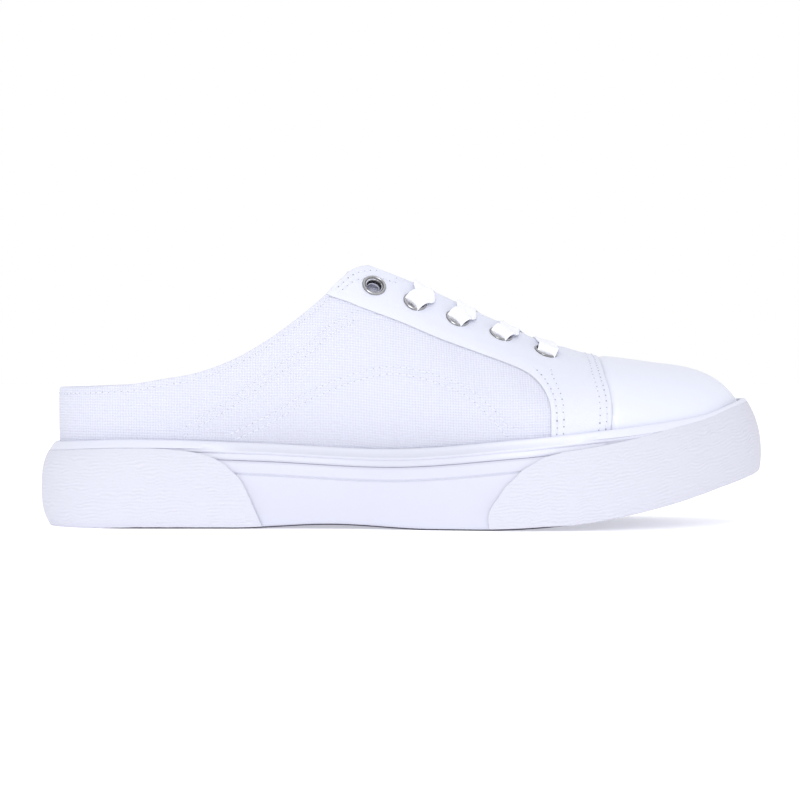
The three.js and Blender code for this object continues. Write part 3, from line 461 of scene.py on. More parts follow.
def rib_points(turn):
    """Ribs of the last for a column of turns, from the foot bed up to the crest"""
    share = share_of(turn)
    tuck = last["tuck"](share)
    inset = wall["inset"](share)
    foot = inset_point(turn, inset)[:, 0]
    wide = widest_level(foot)
    low = foot_bed(foot)
    step = np.arange(SKIRT_ROWS)[None, :] / SKIRT_ROWS
    z = mix(low[:, None], wide[:, None], step)
    depth = (wide[:, None] - z) / np.maximum(1, wide - top_edge(foot))[:, None]
    tucked = tuck[:, None] * np.minimum(1, depth) ** 1.6
    wide_turn = np.broadcast_to(turn[:, None], z.shape)
    plan = inset_point(wide_turn, (inset - tuck)[:, None] + tucked)
    skirt = lifted(plan, z)

    power = np.where(on_outer_side(turn), last["outer"](share), last["inner"](share))[:, None]
    angle = np.radians(np.linspace(0, 90, CROWN_ROWS + 1))[None, :]
    radius = (np.cos(angle) ** power + np.sin(angle) ** power) ** (-1 / power)
    base = inset_point(turn, inset - tuck)[:, None, :]
    top = crest_point(share)[:, None, :]
    plan = top + (base - top) * (radius * np.cos(angle))[..., None]
    z = mix(widest_level(plan[..., 0]), crest(plan[..., 0]), radius * np.sin(angle))
    return np.concatenate([skirt, lifted(plan, z)], axis=1)


def value_noise(x, y, seed):
    """Smooth noise from -1 to 1 on a unit lattice"""
    lattice = np.random.default_rng(seed).uniform(-1, 1, (256, 256))
    i = np.floor(x).astype(int)
    j = np.floor(y).astype(int)
    a = x - i
    b = y - j
    a = a * a * (3 - 2 * a)
    b = b * b * (3 - 2 * b)
    low = mix(lattice[i % 256, j % 256], lattice[(i + 1) % 256, j % 256], a)
    high = mix(lattice[i % 256, (j + 1) % 256], lattice[(i + 1) % 256, (j + 1) % 256], a)
    return mix(low, high, b)


class Sheet(NamedTuple):
    """A surface of triangles with outward normals. Its grain holds mm along and up the cloth or rubber,
    mm to the nearest seam, and how much painted shade darkens it from 0 to 1."""

    points: np.ndarray
    normals: np.ndarray
    grain: np.ndarray
    faces: np.ndarray


def unit(vectors):
    return vectors / np.maximum(1e-9, np.linalg.norm(vectors, axis=-1, keepdims=True))


def sheet_of(points, grain, folded=False):
    """A sheet from a grid; a folded one closes on itself at its first and last row"""
    rows, wide = points.shape[:2]
    index = np.arange(rows * wide).reshape(rows, wide)
    before = points[1, ::-1] if folded else 2 * points[0] - points[1]
    after = points[-2, ::-1] if folded else 2 * points[-1] - points[-2]
    padded = np.concatenate([before[None], points, after[None]])
    forward = padded[2:] - padded[:-2]
    upward = np.gradient(points, axis=1)
    normals = unit(np.cross(forward, upward))
    if folded:
        half = wide // 2
        for end in (0, -1):
            index[end, half + 1:] = index[end, :half][::-1]
    a, b = index[:-1, :-1], index[1:, :-1]
    c, d = index[1:, 1:], index[:-1, 1:]
    faces = np.concatenate([np.stack([a, b, c], -1).reshape(-1, 3), np.stack([a, c, d], -1).reshape(-1, 3)])
    whole = (faces[:, 0] != faces[:, 1]) & (faces[:, 1] != faces[:, 2]) & (faces[:, 2] != faces[:, 0])
    return Sheet(points.reshape(-1, 3), normals.reshape(-1, 3), grain.reshape(-1, 4), faces[whole])


def face_edges(faces):
    return np.concatenate([faces[:, [0, 1]], faces[:, [1, 2]], faces[:, [2, 0]]])


def crossings(sheet, field):
    """The places where a field is 0 on the edges that it changes sign over"""
    keep = field < 0
    edges = np.sort(face_edges(sheet.faces), axis=1)
    edges = np.unique(edges[keep[edges[:, 0]] != keep[edges[:, 1]]], axis=0)
    share = field[edges[:, 0]] / (field[edges[:, 0]] - field[edges[:, 1]])
    return keep, edges, share[:, None]


def cut_once(sheet, field_of):
    keep, edges, share = crossings(sheet, field_of(sheet.points))
    count = len(sheet.points)
    keys = edges[:, 0] * count + edges[:, 1]

    def between(a, b):
        return count + np.searchsorted(keys, np.minimum(a, b) * count + np.maximum(a, b))

    corners = keep[sheet.faces]
    inside = corners.sum(axis=1)
    kept = [sheet.faces[inside == 3]]
    for number in (1, 2):
        part = sheet.faces[inside == number]
        odd = np.argmax(corners[inside == number] == (number == 1), axis=1)
        rows = np.arange(len(part))
        a, b, c = (part[rows, (odd + k) % 3] for k in range(3))
        if number == 1:
            kept.append(np.stack([a, between(a, b), between(a, c)], axis=1))
        else:
            kept.append(np.stack([between(a, b), b, c], axis=1))
            kept.append(np.stack([between(a, b), c, between(a, c)], axis=1))
    used, faces = np.unique(np.concatenate(kept), return_inverse=True)
    grown = []
    for values in sheet[:3]:
        made = mix(values[edges[:, 0]], values[edges[:, 1]], share)
        grown.append(np.concatenate([values, made])[used])
    return Sheet(grown[0], unit(grown[1]), grown[2], faces.reshape(-1, 3))


def cut(sheet, *fields):
    """Keeps the part of a sheet where every field of its points is negative"""
    for field_of in fields:
        sheet = cut_once(sheet, field_of)
    return sheet


def chains(sheet, field_of):
    """Lines along which a field is 0 on a sheet, as lists of points and normals"""
    keep, edges, share = crossings(sheet, field_of(sheet.points))
    points = mix(sheet.points[edges[:, 0]], sheet.points[edges[:, 1]], share)
    normals = unit(mix(sheet.normals[edges[:, 0]], sheet.normals[edges[:, 1]], share))
    number = {tuple(edge): i for i, edge in enumerate(edges.tolist())}
    links = {i: [] for i in range(len(edges))}
    corners = keep[sheet.faces].sum(axis=1)
    for face in sheet.faces[(corners == 1) | (corners == 2)].tolist():
        pairs = [tuple(sorted(pair)) for pair in (face[:2], face[1:], (face[2], face[0]))]
        ends = [number[pair] for pair in pairs if pair in number]
        if len(ends) == 2:
            links[ends[0]].append(ends[1])
            links[ends[1]].append(ends[0])
    lines = []
    seen = set()
    starts = [i for i in links if len(links[i]) == 1] + list(links)
    for start in starts:
        if start in seen:
            continue
        line = [start]
        seen.add(start)
        while True:
            onward = [i for i in links[line[-1]] if i not in seen]
            if not onward:
                break
            line.append(onward[0])
            seen.add(onward[0])
        if len(line) > 3:
            lines.append((points[line], normals[line]))
    return lines


# Each surface's own coordinates, along it and up it
def arc_lengths(points, axis):
    step = np.linalg.norm(np.diff(points, axis=axis), axis=-1)
    return np.concatenate([np.zeros_like(np.take(step, [0], axis)), np.cumsum(step, axis=axis)], axis=axis)


FAR_AWAY = 99.0


def grain_of(u, v):
    return np.stack([u, v, np.full_like(u, FAR_AWAY), np.zeros_like(u)], axis=-1)


def cloth_sheet(points):
    """A sheet whose grain follows the rows and columns of its grid"""
    return sheet_of(points, grain_of(arc_lengths(points, 0), arc_lengths(points, 1)))


def crease_depth(points, outer_side):
    """Soft troughs and ridges of the upper, in mm inwards"""
    spots = np.stack([points[..., 0], points[..., 2] - SOLE_HEIGHT], axis=-1)
    total = np.zeros(points.shape[:-1])
    for at, rise, to_at, to_rise, half, deep in zip(*CREASES.values()):
        start = np.array([at * LENGTH, rise * INSTEP_RISE])
        run = np.array([to_at * LENGTH, to_rise * INSTEP_RISE]) - start
        share = np.clip(((spots - start) @ run) / (run @ run), 0, 1)
        distance = np.linalg.norm(spots - start - share[..., None] * run, axis=-1)
        shape = np.exp(-((distance / half) ** 2)) * np.sin(math.pi * mix(*CREASE_ENDS, share))
        total += deep * shape * np.where(outer_side, 1.0, INNER_CREASES)
    return total


def make_last():
    """The form that the upper is drawn over, with a rounded crest and the cloth's soft waves"""
    turn = np.arange(STATIONS + 1) / STATIONS
    points = np.concatenate([rib_points(turn), rib_points(2 - turn)[:, -2::-1]], axis=1)
    for end in (0, -1):
        points[end] = (points[end] + points[end, ::-1]) / 2
    share = share_of(turn)
    middle = points.shape[1] // 2
    low = middle - RIDGE_ROWS
    high = middle + RIDGE_ROWS + 1
    fade = np.cos(np.linspace(-1, 1, high - low) * math.pi / 2)
    strength = RIDGE_SOFTENING * ramp(share, *RIDGE_REAR) * ramp(share, *RIDGE_FRONT)
    for _ in range(RIDGE_PASSES):
        average = (points[:, low - 1:high - 1] + points[:, low + 1:high + 1]) / 2
        points[:, low:high] = mix(points[:, low:high], average, strength[:, None, None] * fade[:, None])
    across = np.linspace(0, 1, points.shape[1])[None, :]
    round_to = arc_lengths(points[:, SKIRT_ROWS], 0)[:, None]
    round_back = arc_lengths(points[:, -1 - SKIRT_ROWS], 0)[:, None]
    u = mix(round_to, round_back, across)
    v = arc_lengths(points, 1)
    v = np.where(across <= 0.5, v, v[:, -1:] - v)
    grain = grain_of(u, v)
    normals = sheet_of(points, grain, folded=True).normals.reshape(points.shape)
    waves = 0.22 * value_noise(u / 26, v / 22, 5) + 0.1 * value_noise(u / 11, v / 10, 6)
    shift = (waves - crease_depth(points, across <= 0.5)) * ramp(share, *WAVES_FRONT)[:, None]
    moved = points + normals * shift[..., None]
    moved[0] = points[0]
    return sheet_of(moved, grain, folded=True)


last_sheet = make_last()
last_tree = BVHTree.FromPolygons(last_sheet.points.tolist(), last_sheet.faces.tolist())


def from_above(x, y):
    spot, normal, _, _ = last_tree.ray_cast(Vector((x, y, 300)), Vector((0, 0, -1)))
    return np.array(spot), np.array(normal)


# Fields over the last's points: mm across a piece's edge, negative inside the piece
WELL_INSIDE = -5.0
COLLAR_SLANT = 0.9  # mm across the collar for a mm of height
THROAT_STOP = 75.5  # nothing is cut for the throat behind this


def collar_field(points):
    over = (points[:, 2] - collar_height(points[:, 0])) * COLLAR_SLANT
    return np.where(points[:, 0] < COLLAR_FRONT_AT * LENGTH, over, WELL_INSIDE)


def throat_field(points):
    x = points[:, 0]
    centre = THROAT_FRONT_AT * LENGTH - THROAT_HALF_FRONT
    level = np.minimum(x, centre)
    half = throat_half(level)
    ahead = np.maximum(0, x - centre) / THROAT_HALF_FRONT
    aside = np.abs(points[:, 1] - crest_side(level)) / half
    return np.where(x < THROAT_STOP, WELL_INSIDE, (1 - np.hypot(ahead, aside)) * half)


def rise_of(points):
    return (points[:, 2] - SOLE_HEIGHT) / INSTEP_RISE


def slope_of(curve, share, step):
    return (curve(share + step) - curve(share - step)) / (2 * step)


def ahead_of(points, line):
    """mm ahead of a line that stands up the side"""
    rise = rise_of(points)
    lean = slope_of(line, rise, 0.01) * LENGTH / INSTEP_RISE
    return (points[:, 0] - line(rise) * LENGTH) / np.hypot(1, lean)


def rear_field(points):
    return -ahead_of(points, vamp_rear)


def front_field(points):
    return ahead_of(points, vamp_front)


def edge_field(points):
    return top_edge(points[:, 0]) - points[:, 2]


def seam_field(points, seam):
    """mm over a seam that runs along the side"""
    share = points[:, 0] / LENGTH
    lean = slope_of(seam, share, 0.004) * INSTEP_RISE / LENGTH
    return (rise_of(points) - seam(share)) * INSTEP_RISE / np.hypot(1, lean)


def rear_seam(points):
    return seam_field(points, seam_rear)


def arch_seam(points):
    return seam_field(points, seam_arch)


def moved_field(field_of, distance):
    return lambda points: field_of(points) + distance


eyelet_spots = []
for number, half in enumerate(EYELET_HALVES):
    share = number / (EYELET_COUNT - 1)
    x = mix(EYELET_TOP_AT, EYELET_FRONT_AT, share) * LENGTH - EYELET_BOW * 4 * share * (1 - share)
    for side in (OUTER, INNER):
        spot, normal = from_above(x, crest_side(x) + side * half)
        eyelet_spots.append({"number": number + 1, "side": side, "spot": spot, "normal": normal})


HOLE_REACH = 12.0
HOLE_EASE = 0.1


def hole_field(points):
    nearest = np.full(len(points), FAR_AWAY)
    for eyelet in eyelet_spots:
        away = points - eyelet["spot"]
        height = away @ eyelet["normal"]
        flat = np.linalg.norm(away - height[:, None] * eyelet["normal"], axis=1)
        nearest = np.minimum(nearest, np.where(np.abs(height) < HOLE_REACH, flat, FAR_AWAY))
    return EYELET_BARREL + HOLE_EASE - nearest


# Meshes
# Writes the grain and the per-point amount of painted shade as attributes
def write_grain(mesh, grain):
    layer = mesh.attributes.new("grain", "FLOAT_VECTOR", "POINT")
    layer.data.foreach_set("vector", np.asarray(grain[:, :3], np.float32).ravel())
    layer = mesh.attributes.new("painted_shade", "FLOAT", "POINT")
    layer.data.foreach_set("value", np.asarray(grain[:, 3], np.float32))


def link_new(name, data):
    made = bpy.data.objects.new(name, data)
    bpy.context.scene.collection.objects.link(made)
    return made


def new_object(name, points, faces, materials, grain=None, kinds=None, sharp=None):
    """A mesh from points in mm; kinds says which material each face has, and edges that turn by more than
    sharp degrees stay sharp"""
    mesh = bpy.data.meshes.new(name)
    mesh.from_pydata(place(points).reshape(-1, 3).tolist(), [], faces)
    for material in materials:
        mesh.materials.append(material)
    if kinds is not None:
        mesh.polygons.foreach_set("material_index", np.asarray(kinds, np.int32))
    if grain is not None:
        write_grain(mesh, grain.reshape(-1, 4))
    mesh.shade_smooth()
    if sharp:
        mesh.set_sharp_from_angle(angle=math.radians(sharp))
    return link_new(name, mesh)


def add_piece(made, slot, *nodes):
    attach(made, "root")
    if nodes:
        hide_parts(*nodes)


RIM_SHARP = 50
RING_SHARP = 60


def solid_of(name, sheet, outer, inner, materials, bulge):
    """A closed body between two offsets of a sheet, with rounded edges.
    materials: outside, edge and inside."""
    count = len(sheet.points)
    outer = np.broadcast_to(outer, count)[:, None]
    inner = np.broadcast_to(inner, count)[:, None]
    edges = face_edges(sheet.faces)
    forth = edges[:, 0] * count + edges[:, 1]
    back = edges[:, 1] * count + edges[:, 0]
    rim = edges[~np.isin(forth, back)]
    a, b = rim.T
    out = unit(np.cross(sheet.points[b] - sheet.points[a], sheet.normals[a]))
    away = np.zeros_like(sheet.points)
    np.add.at(away, a, out)
    np.add.at(away, b, out)
    ends = np.unique(rim)
    away = unit(away[ends])
    slot = np.zeros(count, int)
    slot[ends] = np.arange(len(ends))
    half = (outer - inner)[ends] / 2
    middle = (outer + inner)[ends] / 2
    layers = [sheet.points + sheet.normals * outer, sheet.points + sheet.normals * inner]
    grains = [sheet.grain, sheet.grain]
    rings = [lambda v: v]
    for k, angle in enumerate(np.radians(np.linspace(90, -90, RIM_STEPS + 1))[1:-1]):
        spots = sheet.points[ends] + sheet.normals[ends] * (middle + half * math.sin(angle))
        layers.append(spots + away * half * bulge * math.cos(angle))
        grains.append(sheet.grain[ends])
        rings.append(lambda v, k=k: 2 * count + k * len(ends) + slot[v])
    rings.append(lambda v: v + count)
    side = []
    for near, far in zip(rings[:-1], rings[1:]):
        side.append(np.stack([near(b), near(a), far(a)], axis=1))
        side.append(np.stack([near(b), far(a), far(b)], axis=1))
    faces = np.concatenate([sheet.faces, sheet.faces[:, ::-1] + count, *side]).tolist()
    wide = len(sheet.faces)
    kinds = np.repeat([0, 2, 1], [wide, wide, len(faces) - 2 * wide])
    grain = np.concatenate(grains)
    return new_object(name, np.concatenate(layers), faces, materials, grain, kinds, RIM_SHARP)


def tube_faces(rows, wide, closed):
    """Quads of a tube with closed rows; a closed tube also joins its last row to its first"""
    index = np.arange(rows * wide).reshape(rows, wide)
    a, b = (index, np.roll(index, -1, axis=0)) if closed else (index[:-1], index[1:])
    quads = np.stack([a, b, np.roll(b, -1, axis=1), np.roll(a, -1, axis=1)], axis=-1)
    return quads.reshape(-1, 4).tolist()


def ring_solid(name, sections, material, grain=None):
    """A closed ring from sections (turns, places in the section, xyz)"""
    faces = tube_faces(*sections.shape[:2], True)
    return new_object(name, sections, faces, [material], grain, sharp=RING_SHARP)


# Materials
def shader(name, colour, roughness, **settings):
    material = bpy.data.materials.new(name)
    material.use_nodes = True
    surface = material.node_tree.nodes["Principled BSDF"]
    surface.inputs["Base Color"].default_value = (*colour, 1)
    surface.inputs["Roughness"].default_value = roughness
    for key, value in settings.items():
        surface.inputs[key.replace("_", " ")].default_value = value
    return material


# Share of its darker colour that a surface keeps where its painted shade is full
PAINTED_SHADE_KEEPS = 0.88


def shaded(colour, share):
    return tuple(channel * share for channel in colour)


class Value:
    """A node's output, which +, - and * join with numbers and other outputs"""

    def __init__(self, tree, socket):
        self.tree = tree
        self.socket = socket

    def math(self, operation, other=0.0):
        node = self.tree.nodes.new("ShaderNodeMath")
        node.operation = operation
        self.tree.links.new(self.socket, node.inputs[0])
        if isinstance(other, Value):
            self.tree.links.new(other.socket, node.inputs[1])
        else:
            node.inputs[1].default_value = other
        return Value(self.tree, node.outputs[0])

    def __add__(self, other):
        return self.math("ADD", other)

    def __sub__(self, other):
        return self.math("SUBTRACT", other)

    def __mul__(self, other):
        return self.math("MULTIPLY", other)


class Nodes:
    """Short ways to add nodes to a material"""

    def __init__(self, material):
        self.tree = material.node_tree
        self.surface = self.tree.nodes["Principled BSDF"]

    def attribute(self, name, output):
        node = self.tree.nodes.new("ShaderNodeAttribute")
        node.attribute_name = name
        return node.outputs[output]

    def grain(self):
        """mm along and up the surface and to the nearest seam, as one vector and as three values"""
        vector = self.attribute("grain", "Vector")
        apart = self.tree.nodes.new("ShaderNodeSeparateXYZ")
        self.tree.links.new(vector, apart.inputs[0])
        return vector, [Value(self.tree, socket) for socket in apart.outputs]

    def object_place(self):
        return self.tree.nodes.new("ShaderNodeTexCoord").outputs["Object"]

    def noise(self, vector, scale, stretch=(1, 1, 1)):
        mapping = self.tree.nodes.new("ShaderNodeMapping")
        mapping.inputs["Scale"].default_value = stretch
        self.tree.links.new(vector, mapping.inputs["Vector"])
        node = self.tree.nodes.new("ShaderNodeTexNoise")
        node.inputs["Scale"].default_value = scale
        node.inputs["Detail"].default_value = 2.0
        self.tree.links.new(mapping.outputs[0], node.inputs["Vector"])
        return Value(self.tree, node.outputs["Fac"])

    def blend(self, dark, light, factor):
        """Mixes two colours; a dark one of None is left to be linked"""
        node = self.tree.nodes.new("ShaderNodeMix")
        node.data_type = "RGBA"
        if dark:
            node.inputs["A"].default_value = (*dark, 1)
        node.inputs["B"].default_value = (*light, 1)
        self.tree.links.new(factor, node.inputs["Factor"])
        return node

    # Blends two colours, then darkens the result by the per-point attribute of painted shade
    def shades(self, factor, dark, light, shade_keeps=PAINTED_SHADE_KEEPS):
        clean = self.blend(dark, light, factor.socket)
        painted_shade = self.blend(None, shaded(dark, shade_keeps), self.attribute("painted_shade", "Fac"))
        self.tree.links.new(clean.outputs["Result"], painted_shade.inputs["A"])
        self.tree.links.new(painted_shade.outputs["Result"], self.surface.inputs["Base Color"])

    def bump(self, height, depth_mm):
        node = self.tree.nodes.new("ShaderNodeBump")
        node.inputs["Distance"].default_value = depth_mm / 1000
        node.inputs["Strength"].default_value = 1.0
        self.tree.links.new(height.socket, node.inputs["Height"])
        self.tree.links.new(node.outputs[0], self.surface.inputs["Normal"])


WHITE_CLOTH = (0.69, 0.705, 0.83)
WHITE_TWILL = (0.69, 0.71, 0.82)
WHITE_RUBBER = (0.60, 0.61, 0.715)
WHITE_CREPE = (0.635, 0.64, 0.735)
WHITE_STRIP = (0.675, 0.69, 0.795)
WHITE_CAP = (0.705, 0.73, 0.84)
TWILL_PITCH = 1.1


def pressed_by(seam, narrow):
    """1 on a seam, and soon 0 beside it"""
    return (seam.math("POWER", 2.0) * -narrow).math("EXPONENT")


def woven(name, colour, period, depth, dark):
    """Plain weave whose threads wander a little; its colour is darker where the bump is low, as painted
    shade between the threads
    """
    material = shader(name, colour, 0.93, Sheen_Weight=0.12, Sheen_Roughness=0.6)
    nodes = Nodes(material)
    vector, (u, v, seam) = nodes.grain()
    wander = nodes.noise(vector, 0.3) * 0.5
    warp, weft = (((way + wander) * (2 * math.pi / period)).math("SINE") for way in (u, v))
    cells = (warp + weft) * 0.5
    slub = nodes.noise(vector, 1.1, (1.0, 0.25, 1.0))
    nodes.bump(cells * 0.8 + slub * 0.5 - pressed_by(seam, 1.1) * 1.6, depth)
    nodes.shades(cells * 0.5 + slub * 0.35 + 0.4, shaded(colour, dark), colour)
    return material


def twilled(name, colour):
    """Close smooth twill with a faint diagonal"""
    material = shader(name, colour, 0.88, Sheen_Weight=0.12, Sheen_Roughness=0.5)
    nodes = Nodes(material)
    vector, (u, v, seam) = nodes.grain()
    lines = ((u + v * 1.7) * (2 * math.pi / TWILL_PITCH)).math("SINE")
    slub = nodes.noise(vector, 1.4)
    nodes.bump(lines * 0.3 + slub - pressed_by(seam, 0.8) * 1.2, 0.07)
    nodes.shades(slub, shaded(colour, 0.965), colour)
    return material


def moulded(name, colour, roughness, depth=0.03, **settings):
    """Smooth rubber with the soft unevenness of a moulding"""
    material = shader(name, colour, roughness, **settings)
    nodes = Nodes(material)
    where = nodes.object_place()
    broad = nodes.noise(where, 55.0)
    nodes.bump(broad + nodes.noise(where, 900.0) * 0.35, depth)
    nodes.shades(broad, shaded(colour, 0.975), colour)
    return material


def creped(name, colour):
    """Rubber with fine wrinkles that run along the sole, a little darker where they are low as painted shade
    in their hollows
    """
    material = shader(name, colour, 0.62)
    nodes = Nodes(material)
    fine = nodes.noise(nodes.grain()[0], 1.0, (0.9, 2.4, 1.0))
    nodes.bump(fine, 0.12)
    nodes.shades(fine, shaded(colour, 0.97), shaded(colour, 1.02))
    return material


canvas = woven("canvas", WHITE_CLOTH, 1.02, 0.12, 0.84)
lining = woven("lining", shaded(WHITE_CLOTH, 0.98), 0.8, 0.06, 0.95)
twill = twilled("twill", WHITE_TWILL)
# Painted shade: the vamp's cut edge is coloured grey to give the thin dark line along it
edge_line_shade = moulded("edge_line_shade", (0.55, 0.56, 0.62), 0.9)
cap_rubber = moulded("cap_rubber", WHITE_CAP, 0.42, 0.02, Coat_Weight=0.15, Coat_Roughness=0.35)
sole_rubber = moulded("sole_rubber", WHITE_RUBBER, 0.45)
strip_rubber = moulded("strip_rubber", WHITE_STRIP, 0.38)
crepe_rubber = creped("crepe_rubber", WHITE_CREPE)
tread_rubber = moulded("tread_rubber", shaded(WHITE_RUBBER, 0.95), 0.6)
# Painted shadow: the tread plate's rim is near black so that the gap above it reads as a dark contact line
tread_rim_shadow = moulded("tread_rim_shadow", (0.05, 0.045, 0.07), 0.8)
insole_cloth = woven("insole_cloth", shaded(WHITE_CLOTH, 0.99), 0.7, 0.05, 0.96)
lace_cotton = woven("lace_cotton", (0.85, 0.86, 0.93), 0.9, 0.07, 0.96)
# Painted shade: pinholes are small dark discs standing in for the shadow in the needle holes, paler on the
# canvas
pinhole_shade = moulded("pinhole_shade", (0.30, 0.30, 0.35), 0.95)
pinhole_pale_shade = moulded("pinhole_pale_shade", (0.42, 0.42, 0.48), 0.95)
thread_cotton = moulded("thread_cotton", (0.72, 0.735, 0.84), 0.9)
nickel = shader("nickel", (0.22, 0.22, 0.235), 0.2, Metallic=1.0)


def brush_nickel():
    nodes = Nodes(nickel)
    fine = nodes.noise(nodes.object_place(), 1500.0)
    nodes.bump(fine, 0.01)
    # Where painted shade is full the metal keeps 0.3 of its dark tone: painted shade in the hole and under
    # the flange
    nodes.shades(fine, (0.34, 0.34, 0.36), (0.5, 0.5, 0.52), 0.3)


brush_nickel()


# Upper
COLLAR_ROW = 1.6
CANVAS_BACK = 0.8  # the canvas ends this far behind collar and throat
TWILL_BACK = 0.6
LINE_GAP = 0.3
CAP_GAP = 0.05
OVER_LAST = 0.05  # overlays start this far over the last
BEHIND_STRIP = 1.6  # how far vamp and cap run down behind the strip
EDGE_PRESS = 0.65  # how far the vamp's sewn rear edge is pressed down
CAP_DIP = 0.85  # how far the cap's sewn rear edge is pressed down
SEAM_HALF = 1.35
EDGE_ROWS = (2.2, 4.7)
STAY_ROWS = (1.9, 4.3)


def with_seams(sheet, *fields):
    """Writes the distance to the nearest seam into the grain"""
    grain = sheet.grain.copy()
    for field_of in fields:
        grain[:, 2] = np.minimum(grain[:, 2], np.abs(field_of(sheet.points)))
    return sheet._replace(grain=grain)


def bell(distance, half):
    return np.exp(-((distance / half) ** 2))


def make_upper():
    edges = [moved_field(line, CANVAS_BACK) for line in (collar_field, throat_field)]
    sheet = cut(last_sheet, *edges, hole_field)
    rows = [moved_field(seam, s) for seam in (rear_seam, arch_seam) for s in (-SEAM_HALF, SEAM_HALF)]
    sheet = with_seams(sheet, *rows, moved_field(collar_field, COLLAR_ROW + CANVAS_BACK))
    share = sheet.points[:, 0] / LENGTH
    # Painted shade: the canvas darkens towards the sole's top edge, weaker at the heel and towards the toe
    low = np.exp(-np.maximum(0, -edge_field(sheet.points)) / 9.0)
    rear = mix(0.3, 1.0, ramp(share, *UPPER_SHADE_REAR))
    sheet.grain[:, 3] = 0.8 * low * rear * mix(1.0, 0.2, ramp(share, *UPPER_SHADE_FRONT))
    made = solid_of("canvas_upper", sheet, 0.0, -UPPER_WALL, [canvas, canvas, lining], 0.9)
    add_piece(made, "canvas", "upper")


def make_vamp():
    edges = [moved_field(line, LINE_GAP) for line in (rear_field, front_field)]
    edges.append(moved_field(edge_field, -BEHIND_STRIP))
    edges += [moved_field(line, TWILL_BACK) for line in (collar_field, throat_field)]
    sheet = cut(last_sheet, *edges, hole_field)
    rows = [moved_field(line, LINE_GAP + row) for line in (front_field, rear_field) for row in EDGE_ROWS]
    sheet = with_seams(sheet, *rows)
    pressed = bell(rear_field(sheet.points), 1.5) + 0.4 * bell(front_field(sheet.points), 1.5)
    height = OVERLAY_OUT - EDGE_PRESS * pressed
    made = solid_of("twill_vamp", sheet, height, OVER_LAST, [twill, edge_line_shade, twill], 0.3)
    add_piece(made, "twill", "vamp_eyestay")


def make_cap():
    bottom = moved_field(edge_field, -BEHIND_STRIP)
    sheet = cut(last_sheet, lambda points: CAP_GAP - front_field(points), bottom)
    height = CAP_OUT - CAP_DIP * bell(front_field(sheet.points), 1.3)
    made = solid_of("rubber_cap", sheet, height, OVER_LAST, [cap_rubber] * 3, 0.4)
    add_piece(made, "cap_rubber", "toe_cap")


def tongue_grid():
    rows = np.linspace(0, 1, TONGUE_ROWS)
    wide = np.linspace(-1, 1, TONGUE_COLUMNS)
    points = np.zeros((len(rows), len(wide), 3))
    drop_under_laces = UPPER_WALL + TONGUE_UNDER_LACES + LACE
    for i, row in enumerate(rows):
        x = mix(TONGUE_TOP_AT, TONGUE_FRONT_AT, row) * LENGTH
        settle = ramp(row, *TONGUE_SETTLES)
        drop = mix(drop_under_laces, UPPER_WALL + TONGUE_EASE, settle)
        edge = from_above(x, crest_side(x) - throat_half(x))[0][2]
        rounded = round_off(row + 0.004, 0.12, 2)
        half = mix(TONGUE_HALF_TOP, TONGUE_HALF_FRONT, row) * mix(0.6, 1, rounded)
        for j, column in enumerate(wide):
            spot, normal = from_above(x, crest_side(x) + half * column)
            low = spot - drop * normal
            low[2] = mix(min(low[2], edge - drop - TONGUE_FLAT), low[2], settle)
            points[i, j] = low
    return points


def make_tongue():
    sheet = cloth_sheet(tongue_grid())
    u, v = sheet.grain[:, 0], sheet.grain[:, 1]
    puckers = 0.18 * value_noise(u / 9, v / 14, 11) - 0.1
    made = solid_of("padded_tongue", sheet, puckers, -TONGUE, [canvas, canvas, lining], 0.9)
    add_piece(made, "canvas", "tongue")


# Sole
wall_turns = np.arange(WALL_STATIONS) / WALL_STATIONS * 2


def wall_point(turn, recess, height):
    """A place on the side wall: recess mm behind its full form, at a height that follows x"""
    share = share_of(turn)
    guess = inset_point(turn, recess)[..., 0]
    level = (height(guess) - underside(guess)) / (top_edge(guess) - underside(guess))
    full = wall["full"](share)
    power = wall["power"](share)
    turned_in = wall["top"](share) * ramp(level, full, 1) ** power
    turned_in = turned_in + wall["bottom"](share) * ramp(level, full, 0) ** power
    return plumb_point(turn, recess + turned_in, height)


def plumb_point(turn, inset, height):
    plan = inset_point(turn, inset)
    return lifted(plan, height(plan[..., 0]))


def below_edge(depth):
    return lambda x: top_edge(x) - depth


def above_tread(height):
    return lambda x: underside(x) + height


def at_level(share):
    return lambda x: mix(underside(x), top_edge(x), share)


def side_ring(name, inside, bottom, rows, top, material, grain=None):
    """A ring round the sole: rows of recess and height up its side, closed by a plumb back inside it"""
    section = [plumb_point(wall_turns, inside, bottom)]
    section += [wall_point(wall_turns, recess, height) for recess, height in rows]
    section.append(plumb_point(wall_turns, inside, top))
    return ring_solid(name, np.stack(section, axis=1), material, grain)


# Across the line under the strip: its place in BAND_LINE from its middle, and how far it is sunk
BAND_SECTION = ((1.5, 0), (1, 0.05), (0.5, 0.7), (0, 1), (-0.5, 0.7), (-1, 0.05), (-1.5, 0))
# Under the strip: mm below the top edge, and mm that the side is sunk
UNDER_STRIP = ((9.6, -0.06), (7.9, 0), (7.5, 0.08), (7.2, 0.4), (STRIP_HEIGHT + 0.1, 0.6))


